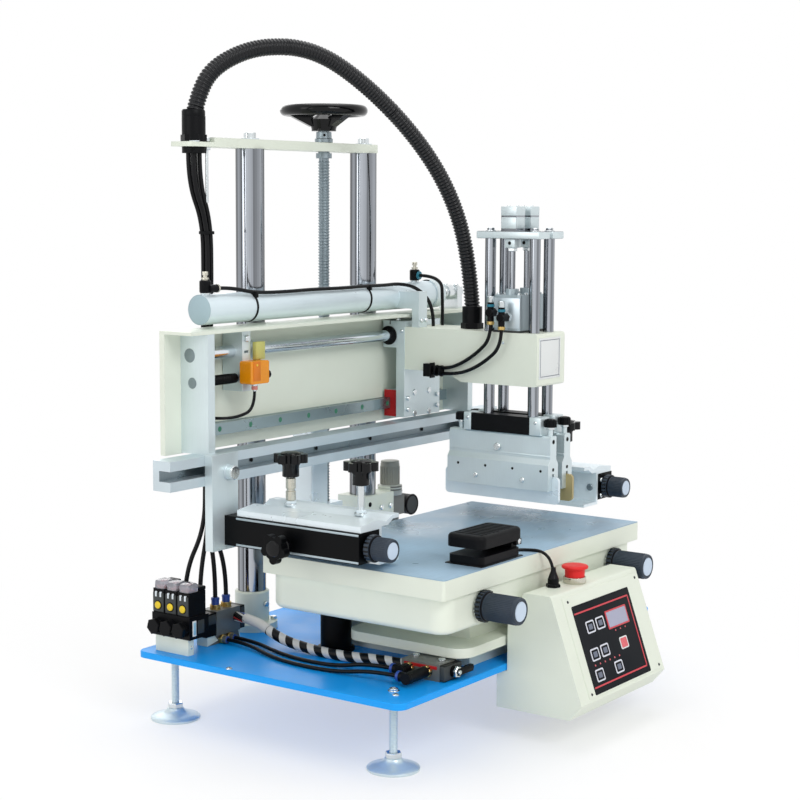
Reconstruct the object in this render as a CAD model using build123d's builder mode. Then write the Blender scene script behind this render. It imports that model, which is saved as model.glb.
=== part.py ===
from build123d import *
import os
from math import cos, pi, radians, sin, tan

os.makedirs("parts", exist_ok=True)

# Frame: +X is the print stroke to the operator's right, -Y is the operator's side, +Z is up.
# The floor under the levelling feet is z = 0. All sizes are millimetres.

# Base plate and feet
base_w, base_d, base_t = 614, 416, 8
base_y = 43
base_top = 95
base_under = base_top - base_t
foot_x, foot_front_y, foot_back_y = 262, -123, 225
foot_r = 32

# Columns, with the top plate across them
col_x, col_y, col_d = 124, 212, 38
socket_h = 52
col_top = 734
top_t = 12
top_x0, top_x1 = -210, 138
top_y0, top_y1 = 197, 231
gland_x, gland_y = -230, 214

# Lead screw and handwheel
screw_x, screw_d = 33, 16
wheel_z, wheel_r, wheel_rim = 790, 53, 7.5

# Lift block that the lead screw moves, with the lift cylinder that stands on it
lift_x, lift_w = 2, 36
nut_x0, nut_x1 = -42, 50
nut_z0, nut_z1 = 228, 246
lift_body_top = 352
lift_lug_z = 366

# Printing head: a plate that slides on the columns
beam_x0, beam_x1 = -324, 318
beam_z0, beam_z1 = 354, 508
beam_face_y, beam_t = 180, 8
stop_x, stop_t = 295, 12.5
stop_y0 = 135
sleeve_r, sleeve_z0, sleeve_z1 = 29, 374, 492
web_t = 9
rod_y, rod_z, rod_d = 165, 477, 16
rail_z, rail_w = 380, 15
rail_half = 270

# Stop bracket with its bumper, sensor and shock absorber
bracket_x0, bracket_x1, bumper_len = -218, -202, 26
shock_y, shock_z = 155, 444

# Carriage, arm and stroke cylinder
plate_x0, plate_x1 = 123, 212
plate_z0, plate_z1 = 361, 498
plate_y0, plate_y1 = 138, 152
arm_x0, arm_x1 = 124, 197
arm_y0, arm_y1 = -80, 138
arm_top, arm_under, arm_low = 490, 430, 418
tube_y, tube_z, tube_d = 168, 532, 38
tube_x0, tube_x1 = -273, 242
piston_rod_d = 12
slide_gap = 0.05
arm_gland_x, arm_gland_y = 160, 48

# Squeegee and flood bar lifts
lift_rod_d = 15
lift_y_back, lift_y_front = 5, -66
lift_mid_y = (lift_y_back + lift_y_front) / 2
flood_x, squeegee_x = 139, 176
yoke_z, yoke_t = 617, 10
holder_y0, holder_y1 = -99, 65
holder_top = 352

# Crossbar and frame arms
bar_x0, bar_x1 = -364, 364
bar_y0, bar_y1 = 135, 163
bar_z0, bar_z1 = 318, 355
arm_rail_w = 40
arm_rail_z0, arm_rail_z1 = 243, 280
arm_rail_y0, arm_rail_y1 = -85, 123
left_rail_x, right_rail_x = -280, 289
clamp_y0, clamp_y1 = arm_rail_y0, 105
star_u, star_y = 61, (67, -42)
lock_y, lock_z = 26, 253

# Table
table_w, table_d, table_t = 476, 275, 24
table_x, table_y, table_top = -6, -44, 230
box_w, box_d, box_h = 460, 267, 45
box_under = table_top - table_t - box_h
table_knob_x, table_knob_z = 160, 186

# Control box
ctrl_x0, ctrl_x1 = -80, 138
ctrl_z0, ctrl_z1 = 38, 188
stop_button_x, stop_button_y = 10, -209

# Foot pedal
pedal_x0, pedal_x1 = -155, -65
pedal_y0, pedal_y1 = -175, -125
pedal_pin_x, pedal_pin_z = -72, 250

# Hose sizes
conduit_d, hose_d, cable_d, loom_d = 22, 5, 4, 12

MID_MIN = (Align.CENTER, Align.CENTER, Align.MIN)
TURNS = {"z": (0, 0, 0), "-z": (180, 0, 0), "x": (0, 90, 0), "-x": (0, -90, 0), "y": (-90, 0, 0), "-y": (90, 0, 0)}
written = []


def save(part, name):
    """Label a finished piece and write it as its own file."""
    part.label = name
    export_step(part, f"parts/{name}.step")
    written.append(name)


def block(x0, x1, y0, y1, z0, z1, mode=Mode.ADD):
    """Box between two corners, in the open part."""
    with Locations(((x0 + x1) / 2, (y0 + y1) / 2, (z0 + z1) / 2)):
        Box(x1 - x0, y1 - y0, z1 - z0, mode=mode)


def drum(x, y, z, radius, length, along="z", mode=Mode.ADD):
    """Round bar that starts at a point and runs along an axis, in the open part."""
    with Locations(Location((x, y, z), TURNS[along])):
        Cylinder(radius, length, align=MID_MIN, mode=mode)


def slab(x0, x1, y0, y1, z0, z1, corner):
    """Plate with rounded upright corners, in the open part."""
    with BuildSketch(Plane.XY.offset(z0)) as outline:
        with Locations(((x0 + x1) / 2, (y0 + y1) / 2)):
            RectangleRounded(x1 - x0, y1 - y0, corner)
    extrude(outline.sketch, amount=z1 - z0)


def star(plane, radius, thickness, lobes=6):
    """Lobed knob head on a plane, in the open part."""
    with BuildSketch(plane) as outline:
        Circle(radius * 0.74)
        with PolarLocations(radius * 0.7, lobes):
            Circle(radius * 0.3)
    extrude(outline.sketch, amount=thickness)


def bends(points):
    """Largest easy radius at each inner point of a route."""
    radii = []
    for before, corner, after in zip(points, points[1:], points[2:]):
        first = Vector(*corner) - Vector(*before)
        second = Vector(*after) - Vector(*corner)
        half_turn = radians(first.get_angle(second)) / 2
        radii.append(0.45 * min(first.length, second.length) / tan(half_turn))
    return radii


def hose(points, width, radii=None):
    """Round hose along straight runs joined by tangent arcs, in the open part."""
    radii = radii or bends(points)
    with BuildLine() as route:
        FilletPolyline(*points, radius=radii)
    path = route.wire()
    with BuildSketch(Plane(origin=path @ 0, z_dir=path % 0)) as section:
        Circle(width / 2)
    tube = sweep(section.sketch, path=path)
    ideal = pi * width * width / 4 * path.length
    print("hose", width, "radii", [round(r) for r in radii], "length", round(path.length),
          "volume share", round(tube.volume / ideal, 3))


# Base plate: a flat plate with rounded corners and its fixing holes
with BuildPart() as base_plate:
    slab(-base_w / 2, base_w / 2, base_y - base_d / 2, base_y + base_d / 2, base_under, base_top, 14)
    chamfer(base_plate.faces().sort_by(Axis.Z)[-1].outer_wire().edges(), 1)
save(base_plate.part, "base_plate")

# Levelling feet: domed pad, stem with two nuts under the plate, and a small screw head on top
with BuildPart() as levelling_feet:
    for fx in (-foot_x, foot_x):
        for fy in (foot_front_y, foot_back_y):
            with BuildSketch(Plane.XZ.offset(-fy)):
                with BuildLine():
                    Polyline((fx, 0), (fx + foot_r, 0), (fx + foot_r, 5))
                    ThreePointArc((fx + foot_r, 5), (fx + 20, 12), (fx + 11, 20))
                    Polyline((fx + 11, 20), (fx + 11, 28), (fx + 9, base_under), (fx, base_under), (fx, 0))
                make_face()
            revolve(axis=Axis((fx, fy, 0), (0, 0, 1)))
            for nut_z, nut_r in ((28, 13), (base_under - 12, 14)):
                with BuildSketch(Plane.XY.offset(nut_z)):
                    with Locations((fx, fy)):
                        RegularPolygon(nut_r, 6)
                extrude(amount=12)
            drum(fx, fy, base_top, 6, 3.5)
save(levelling_feet.part, "levelling_feet")

# Column sockets: a flanged boss that clamps each column to the base plate
with BuildPart() as column_sockets:
    for sx in (-col_x, col_x):
        drum(sx, col_y, base_top, 34, 10)
        drum(sx, col_y, base_top, 23, socket_h)
    chamfer(column_sockets.faces().sort_by(Axis.Z)[-1].edges(), 1.5)
    for sx in (-col_x, col_x):
        drum(sx, col_y, base_top, col_d / 2, socket_h, mode=Mode.SUBTRACT)
save(column_sockets.part, "column_sockets")

# Columns: two polished round bars
with BuildPart() as columns:
    for sx in (-col_x, col_x):
        drum(sx, col_y, base_top, col_d / 2, col_top - base_top)
save(columns.part, "columns")

# Top plate: a bar across both columns with the lead screw's hole, and a thin tongue with the
# hexagon, barrel and lock nut of the conduit's gland
tongue_x0, tongue_t = -256, 6
gland_z, gland_h, gland_nut_h = col_top + tongue_t, 32, 8
with BuildPart() as top_plate:
    block(top_x0, top_x1, top_y0, top_y1, col_top, col_top + top_t)
    block(tongue_x0, top_x0, top_y0, top_y1, col_top, col_top + tongue_t)
    fillet(top_plate.edges().filter_by(Axis.Z).group_by(Axis.X)[0], 4)
    drum(screw_x, col_y, col_top, screw_d / 2 + slide_gap, top_t, mode=Mode.SUBTRACT)
    with BuildSketch(Plane.XY.offset(gland_z)):
        with Locations((gland_x, gland_y)):
            RegularPolygon(17, 6)
    extrude(amount=9)
    drum(gland_x, gland_y, gland_z, 15, gland_h)
    drum(gland_x, gland_y, col_top, 15, gland_nut_h, "-z")
save(top_plate.part, "top_plate")

# Lead screw with its thrust collars, turned by the handwheel
screw_z0 = 214
with BuildPart() as lead_screw:
    drum(screw_x, col_y, screw_z0, screw_d / 2, 772 - screw_z0)
    for collar_z, collar_h, collar_r in ((col_top - 9, 8.9, 11), (col_top + top_t + 0.1, 6, 12.5),
                                         (col_top + top_t + 6.1, 9, 11)):
        drum(screw_x, col_y, collar_z, collar_r, collar_h)
save(lead_screw.part, "lead_screw")

# Handwheel: round rim on sloping spokes that fall to the hub
hub_z = 762
with BuildPart() as handwheel:
    with BuildSketch(Plane.XZ.offset(-col_y)):
        with Locations((screw_x + wheel_r, wheel_z)):
            Circle(wheel_rim)
        with BuildLine():
            Polyline((screw_x, hub_z), (screw_x + 17, hub_z), (screw_x + 17, hub_z + 3), (screw_x + 21, 778),
                     (screw_x + 12, 784), (screw_x, 784), (screw_x, hub_z))
        make_face()
    revolve(axis=Axis((screw_x, col_y, 0), (0, 0, 1)))
    for turn in (20, 140, 260):
        spoke_plane = Plane(origin=(screw_x, col_y, 0), x_dir=(cos(radians(turn)), sin(radians(turn)), 0),
                            z_dir=(sin(radians(turn)), -cos(radians(turn)), 0))
        with BuildSketch(spoke_plane):
            with BuildLine():
                Polyline((10, 768), (19, 768), (wheel_r, wheel_z - 5), (wheel_r, wheel_z + 4), (14, 780), (10, 768))
            make_face()
        extrude(amount=7, both=True)
    drum(screw_x, col_y, hub_z, screw_d / 2, 10, mode=Mode.SUBTRACT)
save(handwheel.part, "handwheel")

# Lift cylinder: square body bored for its rod, on a block that holds the lead screw's nut
half_w = lift_w / 2
with BuildPart() as lift_cylinder:
    block(nut_x0, nut_x1, 192, 232, nut_z0, nut_z1)
    drum(screw_x, col_y, nut_z0, screw_d / 2 + slide_gap, nut_z1 - nut_z0, mode=Mode.SUBTRACT)
    slab(lift_x - half_w, lift_x + half_w, col_y - half_w, col_y + half_w, nut_z1, lift_body_top, 3)
    drum(lift_x, col_y, nut_z1 + 12, 5 + slide_gap, lift_body_top - nut_z1 - 12, mode=Mode.SUBTRACT)
save(lift_cylinder.part, "lift_cylinder")

# Head beam: folded plate with a lip along its top
with BuildPart() as head_beam:
    with BuildSketch(Plane.YZ.offset(beam_x0)):
        with BuildLine():
            Polyline((beam_face_y, beam_z0), (beam_face_y, beam_z1 - 4), (stop_y0, beam_z1 - 4),
                     (stop_y0, beam_z1), (beam_face_y + beam_t, beam_z1),
                     (beam_face_y + beam_t, beam_z0), (beam_face_y, beam_z0))
        make_face()
    extrude(amount=beam_x1 - beam_x0)
save(head_beam.part, "head_beam")

# Column sleeves behind the beam: two long bushes on a web, with the lift rod's lug and rod
beam_back = beam_face_y + beam_t
with BuildPart() as column_sleeves:
    block(-col_x - sleeve_r, col_x + sleeve_r, beam_back, beam_back + web_t, sleeve_z0, sleeve_z1)
    for sx in (-col_x, col_x):
        drum(sx, col_y, sleeve_z0, sleeve_r, sleeve_z1 - sleeve_z0)
    block(lift_x - 14, lift_x + 14, beam_back, col_y + 12, lift_lug_z, lift_lug_z + 14)
    drum(lift_x, col_y, nut_z1 + 20, 5, lift_lug_z - nut_z1 - 20)
    block(-200, 200, beam_back - 40, beam_back, sleeve_z0 - 10, sleeve_z1 + 10, mode=Mode.SUBTRACT)
    for sx in (-col_x, col_x):
        drum(sx, col_y, sleeve_z0, col_d / 2 + slide_gap, sleeve_z1 - sleeve_z0, mode=Mode.SUBTRACT)
save(column_sleeves.part, "column_sleeves")

# End stops: plates that stand forward of the beam, bored for the guide rod, each with its shock absorber
with BuildPart() as end_plates:
    for ex in (-stop_x, stop_x - stop_t):
        block(ex, ex + stop_t, stop_y0, beam_face_y, 355, 504)
        drum(ex, rod_y, rod_z, rod_d / 2, stop_t, "x", mode=Mode.SUBTRACT)
    for ex, step, out in ((-stop_x, 1, "x"), (stop_x, -1, "-x")):
        drum(ex, shock_y, shock_z, 6, 62, out)
        drum(ex + step * 62, shock_y, shock_z, 2.5, 14.5, out)
        with BuildSketch(Plane(origin=(ex + step * stop_t, shock_y, shock_z), z_dir=(step, 0, 0))):
            RegularPolygon(9, 6)
        extrude(amount=6)
save(end_plates.part, "end_plates")

# Guide rod between the end plates
with BuildPart() as guide_rod:
    drum(-stop_x, rod_y, rod_z, rod_d / 2, 2 * stop_x, "x")
save(guide_rod.part, "guide_rod")

# Stop bracket: split clamp on the guide rod with a soft bumper beside it
with BuildPart() as stop_bracket:
    block(bracket_x0, bracket_x1, 146, 179, 427, 504)
    block(bracket_x0 + 4, bracket_x1 - 4, 146, 160, rod_z - 1.5, rod_z + 1.5, mode=Mode.SUBTRACT)
    drum(bracket_x1, rod_y, rod_z, 12, bumper_len, "x")
    drum(bracket_x0, rod_y, rod_z, rod_d / 2, bracket_x1 + bumper_len - bracket_x0, "x", mode=Mode.SUBTRACT)
save(stop_bracket.part, "stop_bracket")

# Proximity sensor: flat cube on the bracket's face with a cable tail below
sensor_x, sensor_y = -205, 137
with BuildPart() as proximity_sensor:
    block(sensor_x - 18, sensor_x + 18, sensor_y - 9, sensor_y + 9, 437, 466)
    fillet(proximity_sensor.edges().filter_by(Axis.Y), 3)
    drum(sensor_x, sensor_y, 437, 4, 8, "-z")
save(proximity_sensor.part, "proximity_sensor")

# Linear rail on the beam's face: waisted section with its screw holes
rail_pitch, rail_hole_r = 60, 3.5
with BuildPart() as linear_rail:
    with BuildSketch(Plane.YZ.offset(-rail_half)):
        with BuildLine():
            Polyline((beam_face_y, rail_z - 7.5), (beam_face_y - 5, rail_z - 7.5), (beam_face_y - 7.5, rail_z - 5.5),
                     (beam_face_y - 10, rail_z - 7.5), (beam_face_y - 15, rail_z - 7.5),
                     (beam_face_y - 15, rail_z + 7.5), (beam_face_y - 10, rail_z + 7.5),
                     (beam_face_y - 7.5, rail_z + 5.5), (beam_face_y - 5, rail_z + 7.5),
                     (beam_face_y, rail_z + 7.5), (beam_face_y, rail_z - 7.5))
        make_face()
    extrude(amount=2 * rail_half)
    for hole in range(9):
        drum(rail_pitch * (hole - 4), beam_face_y - 15, rail_z, rail_hole_r, 2, "y", mode=Mode.SUBTRACT)
save(linear_rail.part, "linear_rail")

# Crossbar: C-section bar with its slot to the operator
slot_depth, slot_wall = 18, 12
with BuildPart() as crossbar:
    with BuildSketch(Plane.YZ.offset(bar_x0)):
        with BuildLine():
            Polyline((bar_y0, bar_z0), (bar_y1, bar_z0), (bar_y1, bar_z1), (bar_y0, bar_z1),
                     (bar_y0, bar_z1 - slot_wall), (bar_y0 + slot_depth, bar_z1 - slot_wall),
                     (bar_y0 + slot_depth, bar_z0 + slot_wall), (bar_y0, bar_z0 + slot_wall), (bar_y0, bar_z0))
        make_face()
    extrude(amount=bar_x1 - bar_x0)
save(crossbar.part, "crossbar")

# Arm brackets: upright blocks bolted to the crossbar's face
bracket_t, bracket_w = 12, 48
with BuildPart() as arm_brackets:
    for bx in (left_rail_x - 22, right_rail_x - 8):
        block(bx, bx + bracket_w, bar_y0 - bracket_t, bar_y0, arm_rail_z0 - 6, bar_z1 + 2)
        drum(bx + 31, bar_y0 - bracket_t, 333, 9, 9, "-y")
save(arm_brackets.part, "arm_brackets")

# Frame arms: square bars that run forward from the brackets, each with a side lock knob
for side, rx, inward in (("left", left_rail_x, 1), ("right", right_rail_x, -1)):
    outer = rx if inward > 0 else rx + arm_rail_w
    with BuildPart() as frame_arm:
        block(rx, rx + arm_rail_w, arm_rail_y0, arm_rail_y1, arm_rail_z0, arm_rail_z1)
        drum(outer, lock_y, lock_z, 8, 14, "-x" if inward > 0 else "x")
        star(Plane(origin=(outer - 14 * inward, lock_y, lock_z), z_dir=(-inward, 0, 0)), 19, 10, 5)
    save(frame_arm.part, f"{side}_frame_arm")

# Frame clamps: open channels on the arms that grip the screen frame between them
clamp_section = [(3, 280.5), (40.5, 280.5), (40.5, 237), (80, 237), (80, 241), (45, 241), (45, 283), (58, 283),
                 (68, 289), (80, 289), (80, 294), (66, 294), (54, 288), (36, 292), (3, 288)]
for side, rx, inward in (("left", left_rail_x, 1), ("right", right_rail_x, -1)):
    outer = rx if inward > 0 else rx + arm_rail_w
    with BuildPart() as frame_clamp:
        with BuildSketch(Plane.XZ.offset(-clamp_y1)):
            with BuildLine():
                Polyline(*[(outer + u * inward, z) for u, z in clamp_section], close=True)
            make_face()
        extrude(amount=clamp_y1 - clamp_y0)
        for ky in star_y:
            drum(outer + star_u * inward, ky, 270, 4 + slide_gap, 40, mode=Mode.SUBTRACT)
    save(frame_clamp.part, f"{side}_frame_clamp")

# Star knob clamp screws, two on each clamp: pad, stem, hub and lobed head
for side, outer, inward in (("left", left_rail_x, 1), ("right", right_rail_x + arm_rail_w, -1)):
    for place, ky in zip(("back", "front"), star_y):
        kx = outer + star_u * inward
        with BuildPart() as clamp_screw:
            drum(kx, ky, 257, 7, 5)
            drum(kx, ky, 262, 4, 66)
            drum(kx, ky, 328, 10, 16)
            star(Plane.XY.offset(344).move(Location((kx, ky, 0))), 21.5, 11)
        save(clamp_screw.part, f"{side}_{place}_clamp_screw")


def dial_knob(x, y, z, length, radius):
    """Graduated knob that stands forward of a face, toward the operator, in the open part."""
    drum(x, y, z, radius - 2, 3, "-y")
    drum(x, y - 3, z, radius + 2.5, 7, "-y")
    drum(x, y - 10, z, radius, length - 10, "-y")


# Adjusting knobs of the frame arms
knob_gap = 0.3
for side, rx in (("left", left_rail_x), ("right", right_rail_x)):
    with BuildPart() as adjuster:
        dial_knob(rx + arm_rail_w / 2, arm_rail_y0 - knob_gap, 261, 33, 14)
    save(adjuster.part, f"{side}_arm_knob")

# Carriage: rail block, and a plate that holds the rod bearing and the arm
rail_play = 0.3
with BuildPart() as rail_carriage:
    block(plate_x0 + 3, plate_x1 - 3, plate_y1, beam_face_y - 5, rail_z - 19, rail_z + 19)
    block(plate_x0, plate_x1, beam_face_y - 15 - rail_play, beam_face_y, rail_z - rail_w / 2 - rail_play,
          rail_z + rail_w / 2 + rail_play, mode=Mode.SUBTRACT)
save(rail_carriage.part, "rail_carriage")

bearing_len = 60
with BuildPart() as carriage_plate:
    block(plate_x0, plate_x1, plate_y0, plate_y1, plate_z0, plate_z1)
    block(plate_x0, plate_x0 + bearing_len, plate_y1, beam_face_y - 5, rod_z - 17, plate_z1)
    drum(plate_x0, rod_y, rod_z, rod_d / 2 + slide_gap, bearing_len, "x", mode=Mode.SUBTRACT)
save(carriage_plate.part, "carriage_plate")

# Arm: closed box that carries the squeegee lifts out over the table, with a hose clip and the
# gland for the travelling end of the conduit
with BuildPart() as print_arm:
    with BuildSketch(Plane.YZ.offset(arm_x0)):
        with BuildLine():
            Polyline((arm_y1, arm_under), (arm_y1, arm_top), (arm_y0, arm_top), (arm_y0, arm_low),
                     (43, arm_low), (67, arm_under), (arm_y1, arm_under))
        make_face()
    extrude(amount=arm_x1 - arm_x0)
    fillet(print_arm.edges().filter_by(Axis.X).group_by(Axis.Y)[0], 4)
    for lx in (squeegee_x, flood_x):
        for ly in (lift_y_back, lift_y_front):
            drum(lx, ly, arm_low - 2, lift_rod_d / 2 + slide_gap, arm_top - arm_low + 4, mode=Mode.SUBTRACT)
    block(arm_x0 - 9, arm_x0, 88, 100, 423, 441)
    drum(arm_gland_x, arm_gland_y, arm_top, 14, gland_h - 1)
    with BuildSketch(Plane.XY.offset(arm_top)):
        with Locations((arm_gland_x, arm_gland_y)):
            RegularPolygon(16, 6)
    extrude(amount=8)
save(print_arm.part, "print_arm")

# Stroke cylinder: its body travels with the carriage and its rod is held by the head
left_port_x, port_x, elbow_y = -262, 190, 162
cap_len = 22
with BuildPart() as stroke_cylinder:
    drum(tube_x0, tube_y, tube_z, tube_d / 2, tube_x1 - tube_x0, "x")
    drum(tube_x1 - cap_len, tube_y, tube_z, tube_d / 2 + 1.5, cap_len, "x")
    block(127, 147, 116, 128, arm_top, 540)
    block(127, 147, 128, 156, 516, 540)
    drum(tube_x0 + 10, tube_y, tube_z, piston_rod_d / 2 + slide_gap, tube_x1 - tube_x0, "x", mode=Mode.SUBTRACT)
    for px in (left_port_x, port_x):
        drum(px, tube_y, tube_z + 17, 5, 8)
        drum(px, tube_y, tube_z + 26, 6.5, 10)
    drum(left_port_x, elbow_y, tube_z + 26, 5, 16, "x")
    drum(port_x, tube_y, tube_z + 28, 5.5, 9, "-y")
save(stroke_cylinder.part, "stroke_cylinder")

rod_x0 = tube_x0 + 40
with BuildPart() as stroke_rod:
    drum(rod_x0, tube_y, tube_z, piston_rod_d / 2, stop_x - rod_x0, "x")
    block(stop_x - stop_t, stop_x, stop_y0 + 20, beam_back, beam_z1, tube_z + 8)
    drum(stop_x - stop_t - 16, tube_y, tube_z, 11, 16, "x")
save(stroke_rod.part, "stroke_rod")

# Lift cylinders on the arm: compact bodies with speed controls on their left faces
lift_body_h = 51
fittings = ((114, -12, 503), (110, -32, 497))
with BuildPart() as lift_cylinders:
    for lx in (squeegee_x, flood_x):
        slab(lx - 14, lx + 14, lift_mid_y - 21, lift_mid_y + 21, arm_top, arm_top + lift_body_h, 4)
        drum(lx, lift_mid_y, arm_top + lift_body_h, 9, 8)
        drum(lx, lift_mid_y, arm_top + 4, 4 + slide_gap, lift_body_h + 8, mode=Mode.SUBTRACT)
    for fit_x, fit_y, fit_z in fittings:
        drum(flood_x - 14, fit_y, fit_z + 14, 5.5, flood_x - 14 - fit_x + 5, "-x")
        drum(fit_x, fit_y, fit_z, 4.5, 28)
save(lift_cylinders.part, "lift_cylinders")

# Lifting frames and holders: one for the squeegee, one for the flood bar
blade_z0, blade_z1 = 259, 296
for name, lx in (("squeegee", squeegee_x), ("flood_bar", flood_x)):
    with BuildPart() as lift_frame:
        for ly in (lift_y_back, lift_y_front):
            drum(lx, ly, holder_top, lift_rod_d / 2, yoke_z - holder_top)
            drum(lx, ly, yoke_z + yoke_t, 5, 4)
        drum(lx, lift_mid_y, arm_top + 28, 4, yoke_z - arm_top - 28)
        slab(lx - 14, lx + 14, lift_y_front - 14, lift_y_back + 14, yoke_z, yoke_z + yoke_t, 3)
        block(lx - 8, lx + 8, lift_mid_y - 8, lift_mid_y + 8, yoke_z - 12, yoke_z)
        block(lx - 11, lx + 11, lift_mid_y - 12, lift_mid_y + 12, yoke_z + yoke_t, yoke_z + yoke_t + 33)
    save(lift_frame.part, f"{name}_lift_frame")
    with BuildPart() as holder:
        with BuildSketch(Plane.XZ.offset(-holder_y1)):
            with BuildLine():
                Polyline((lx - 8, 320), (lx - 8, 350), (lx - 6, holder_top), (lx + 6, holder_top), (lx + 8, 350),
                         (lx + 8, 320), (lx + 13, 313), (lx + 13, 277), (lx + 2.5, 277), (lx + 2.5, 300),
                         (lx - 2.5, 300), (lx - 2.5, 277), (lx - 13, 277), (lx - 13, 313), (lx - 8, 320))
            make_face()
        extrude(amount=holder_y1 - holder_y0)
        block(lx - 11, lx + 11, lift_y_front - 19, lift_y_back + 34, holder_top, 376)
        for ly in (lift_y_back, lift_y_front):
            drum(lx, ly, holder_top, lift_rod_d / 2, 24, mode=Mode.SUBTRACT)
        for ly in (lift_y_back + 45, lift_y_front - 28):
            drum(lx, ly, holder_top, 3.5, 12)
            drum(lx, ly, holder_top + 12, 8, 10)
    save(holder.part, f"{name}_holder")
    with BuildPart() as blade:
        with BuildSketch(Plane.YZ.offset(lx - 2.4)):
            with Locations(((holder_y0 + holder_y1) / 2, (blade_z0 + blade_z1) / 2)):
                RectangleRounded(holder_y1 - holder_y0 + 20, blade_z1 - blade_z0, 6)
        extrude(amount=4.8)
    save(blade.part, f"{name}_blade")

# Table: thick top on a rounded box, which slides on a pedestal
with BuildPart() as table_slab:
    slab(table_x - table_w / 2, table_x + table_w / 2, table_y - table_d / 2, table_y + table_d / 2,
         table_top - table_t, table_top, 4)
save(table_slab.part, "table_top")

with BuildPart() as table_box:
    slab(table_x - box_w / 2, table_x + box_w / 2, table_y - box_d / 2, table_y + box_d / 2,
         box_under, table_top - table_t, 22)
    fillet(table_box.faces().sort_by(Axis.Z)[0].edges(), 8)
save(table_box.part, "table_box")

with BuildPart() as table_pedestal:
    block(-120, 150, -136, 60, base_top, box_under)
    slab(-172, 172, -162, 20, 118, 130, 24)
    for px in (-150, 150):
        drum(px, 49, base_top, 20, box_under - base_top)
save(table_pedestal.part, "table_pedestal")

for side, kx in (("left", -table_knob_x), ("right", table_knob_x)):
    with BuildPart() as table_knob:
        dial_knob(kx, table_y - box_d / 2 - knob_gap, table_knob_z, 55, 16.5)
    save(table_knob.part, f"{side}_table_knob")

# Control box: wedge with a sloping front, and an entry gland for the pedal's cord
cord_gland_x, cord_gland_y = -28, -200
with BuildPart() as control_box:
    with BuildSketch(Plane.YZ.offset(ctrl_x0)):
        with BuildLine():
            Polyline((-151, ctrl_z0), (-151, base_under - 1), (-166, base_under - 1), (-166, 148),
                     (-187, 148), (-187, ctrl_z1), (-227, ctrl_z1), (-273, 58), (-256, ctrl_z0), (-151, ctrl_z0))
        make_face()
    extrude(amount=ctrl_x1 - ctrl_x0)
    fillet(control_box.edges().filter_by(Axis.X).group_by(Axis.Z)[-1], 4)
    drum(cord_gland_x, cord_gland_y, ctrl_z1, 7, 11)
    drum(stop_button_x, stop_button_y, ctrl_z1, 13, 3)
    drum(stop_button_x, stop_button_y, ctrl_z1 - 10, 9.1, 13, mode=Mode.SUBTRACT)
save(control_box.part, "control_box")

with BuildPart() as stop_button:
    drum(stop_button_x, stop_button_y, ctrl_z1 - 4, 9, 18)
    drum(stop_button_x, stop_button_y, ctrl_z1 + 12, 17, 11)
    fillet(stop_button.faces().sort_by(Axis.Z)[-1].edges(), 4)
save(stop_button.part, "stop_button")

# Foot pedal resting on the table: a base with a lug, and a cover on a pin
with BuildPart() as pedal_base:
    slab(pedal_x0, pedal_x1, pedal_y0, pedal_y1, table_top, table_top + 12, 8)
    block(pedal_pin_x - 6, pedal_pin_x + 6, pedal_y0 + 6, pedal_y1 - 6, table_top + 12, pedal_pin_z + 5)
    drum(pedal_pin_x, pedal_y0, pedal_pin_z, 2.5 + slide_gap, pedal_y1 - pedal_y0, "y", mode=Mode.SUBTRACT)
save(pedal_base.part, "pedal_base")

with BuildPart() as pedal_cover:
    slab(pedal_x0 - 2, pedal_x1 + 2, pedal_y0 - 2, pedal_y1 + 2, 252, 268, 10)
    fillet(pedal_cover.faces().sort_by(Axis.Z)[-1].edges(), 5)
    block(pedal_pin_x - 12, pedal_pin_x + 12, pedal_y0 + 4, pedal_y1 - 4, 250, 260, mode=Mode.SUBTRACT)
    for cheek_y in (pedal_y0 - 1, pedal_y1 - 4):
        block(pedal_pin_x - 6, pedal_pin_x + 6, cheek_y, cheek_y + 5, 246, 253)
    drum(pedal_pin_x, pedal_y0, pedal_pin_z, 2.5, pedal_y1 - pedal_y0, "y")
save(pedal_cover.part, "pedal_cover")

# Valves: three solenoid valves on a manifold, with silencers on the left face
bank_x0, bank_x1, bank_y0, bank_y1 = -292, -256, 172, 236
bank_z0, bank_z1 = 116, 145
valve_pitch = 21
valve_mid = (bank_y0 + bank_y1) / 2
single_y0, single_y1 = 185, 211
with BuildPart() as valves:
    block(bank_x0, bank_x1, bank_y0, bank_y1, bank_z0, bank_z1)
    block(bank_x0 + 2, bank_x0 + 12, bank_y0 + 4, bank_y1 - 4, base_top, bank_z0)
    for row in (-1, 0, 1):
        valve_y = valve_mid + row * valve_pitch
        block(bank_x0 + 1, bank_x1 - 4, valve_y - 9.5, valve_y + 9.5, bank_z1, 176)
        drum(bank_x0, valve_y, 129, 9, 11, "-x")

# Single valve beside the bank: body between end caps on a foot, with two fittings on top
    block(-226, -180, single_y0, single_y1, 107, 139)
    block(-246, -226, single_y0 + 1, single_y1 - 1, 108, 138)
    block(-180, -170, single_y0 + 1, single_y1 - 1, 108, 138)
    block(-240, -176, single_y0 + 4, single_y1 - 4, base_top, 107)
    for fx in (-214, -193):
        drum(fx, 198, 139, 7, 6)
        drum(fx, 198, 145, 5, 8)
    for fx in (-214, -200):
        drum(fx, single_y0 + 4, 101, 5, 12, "-y")
save(valves.part, "valves")

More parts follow.
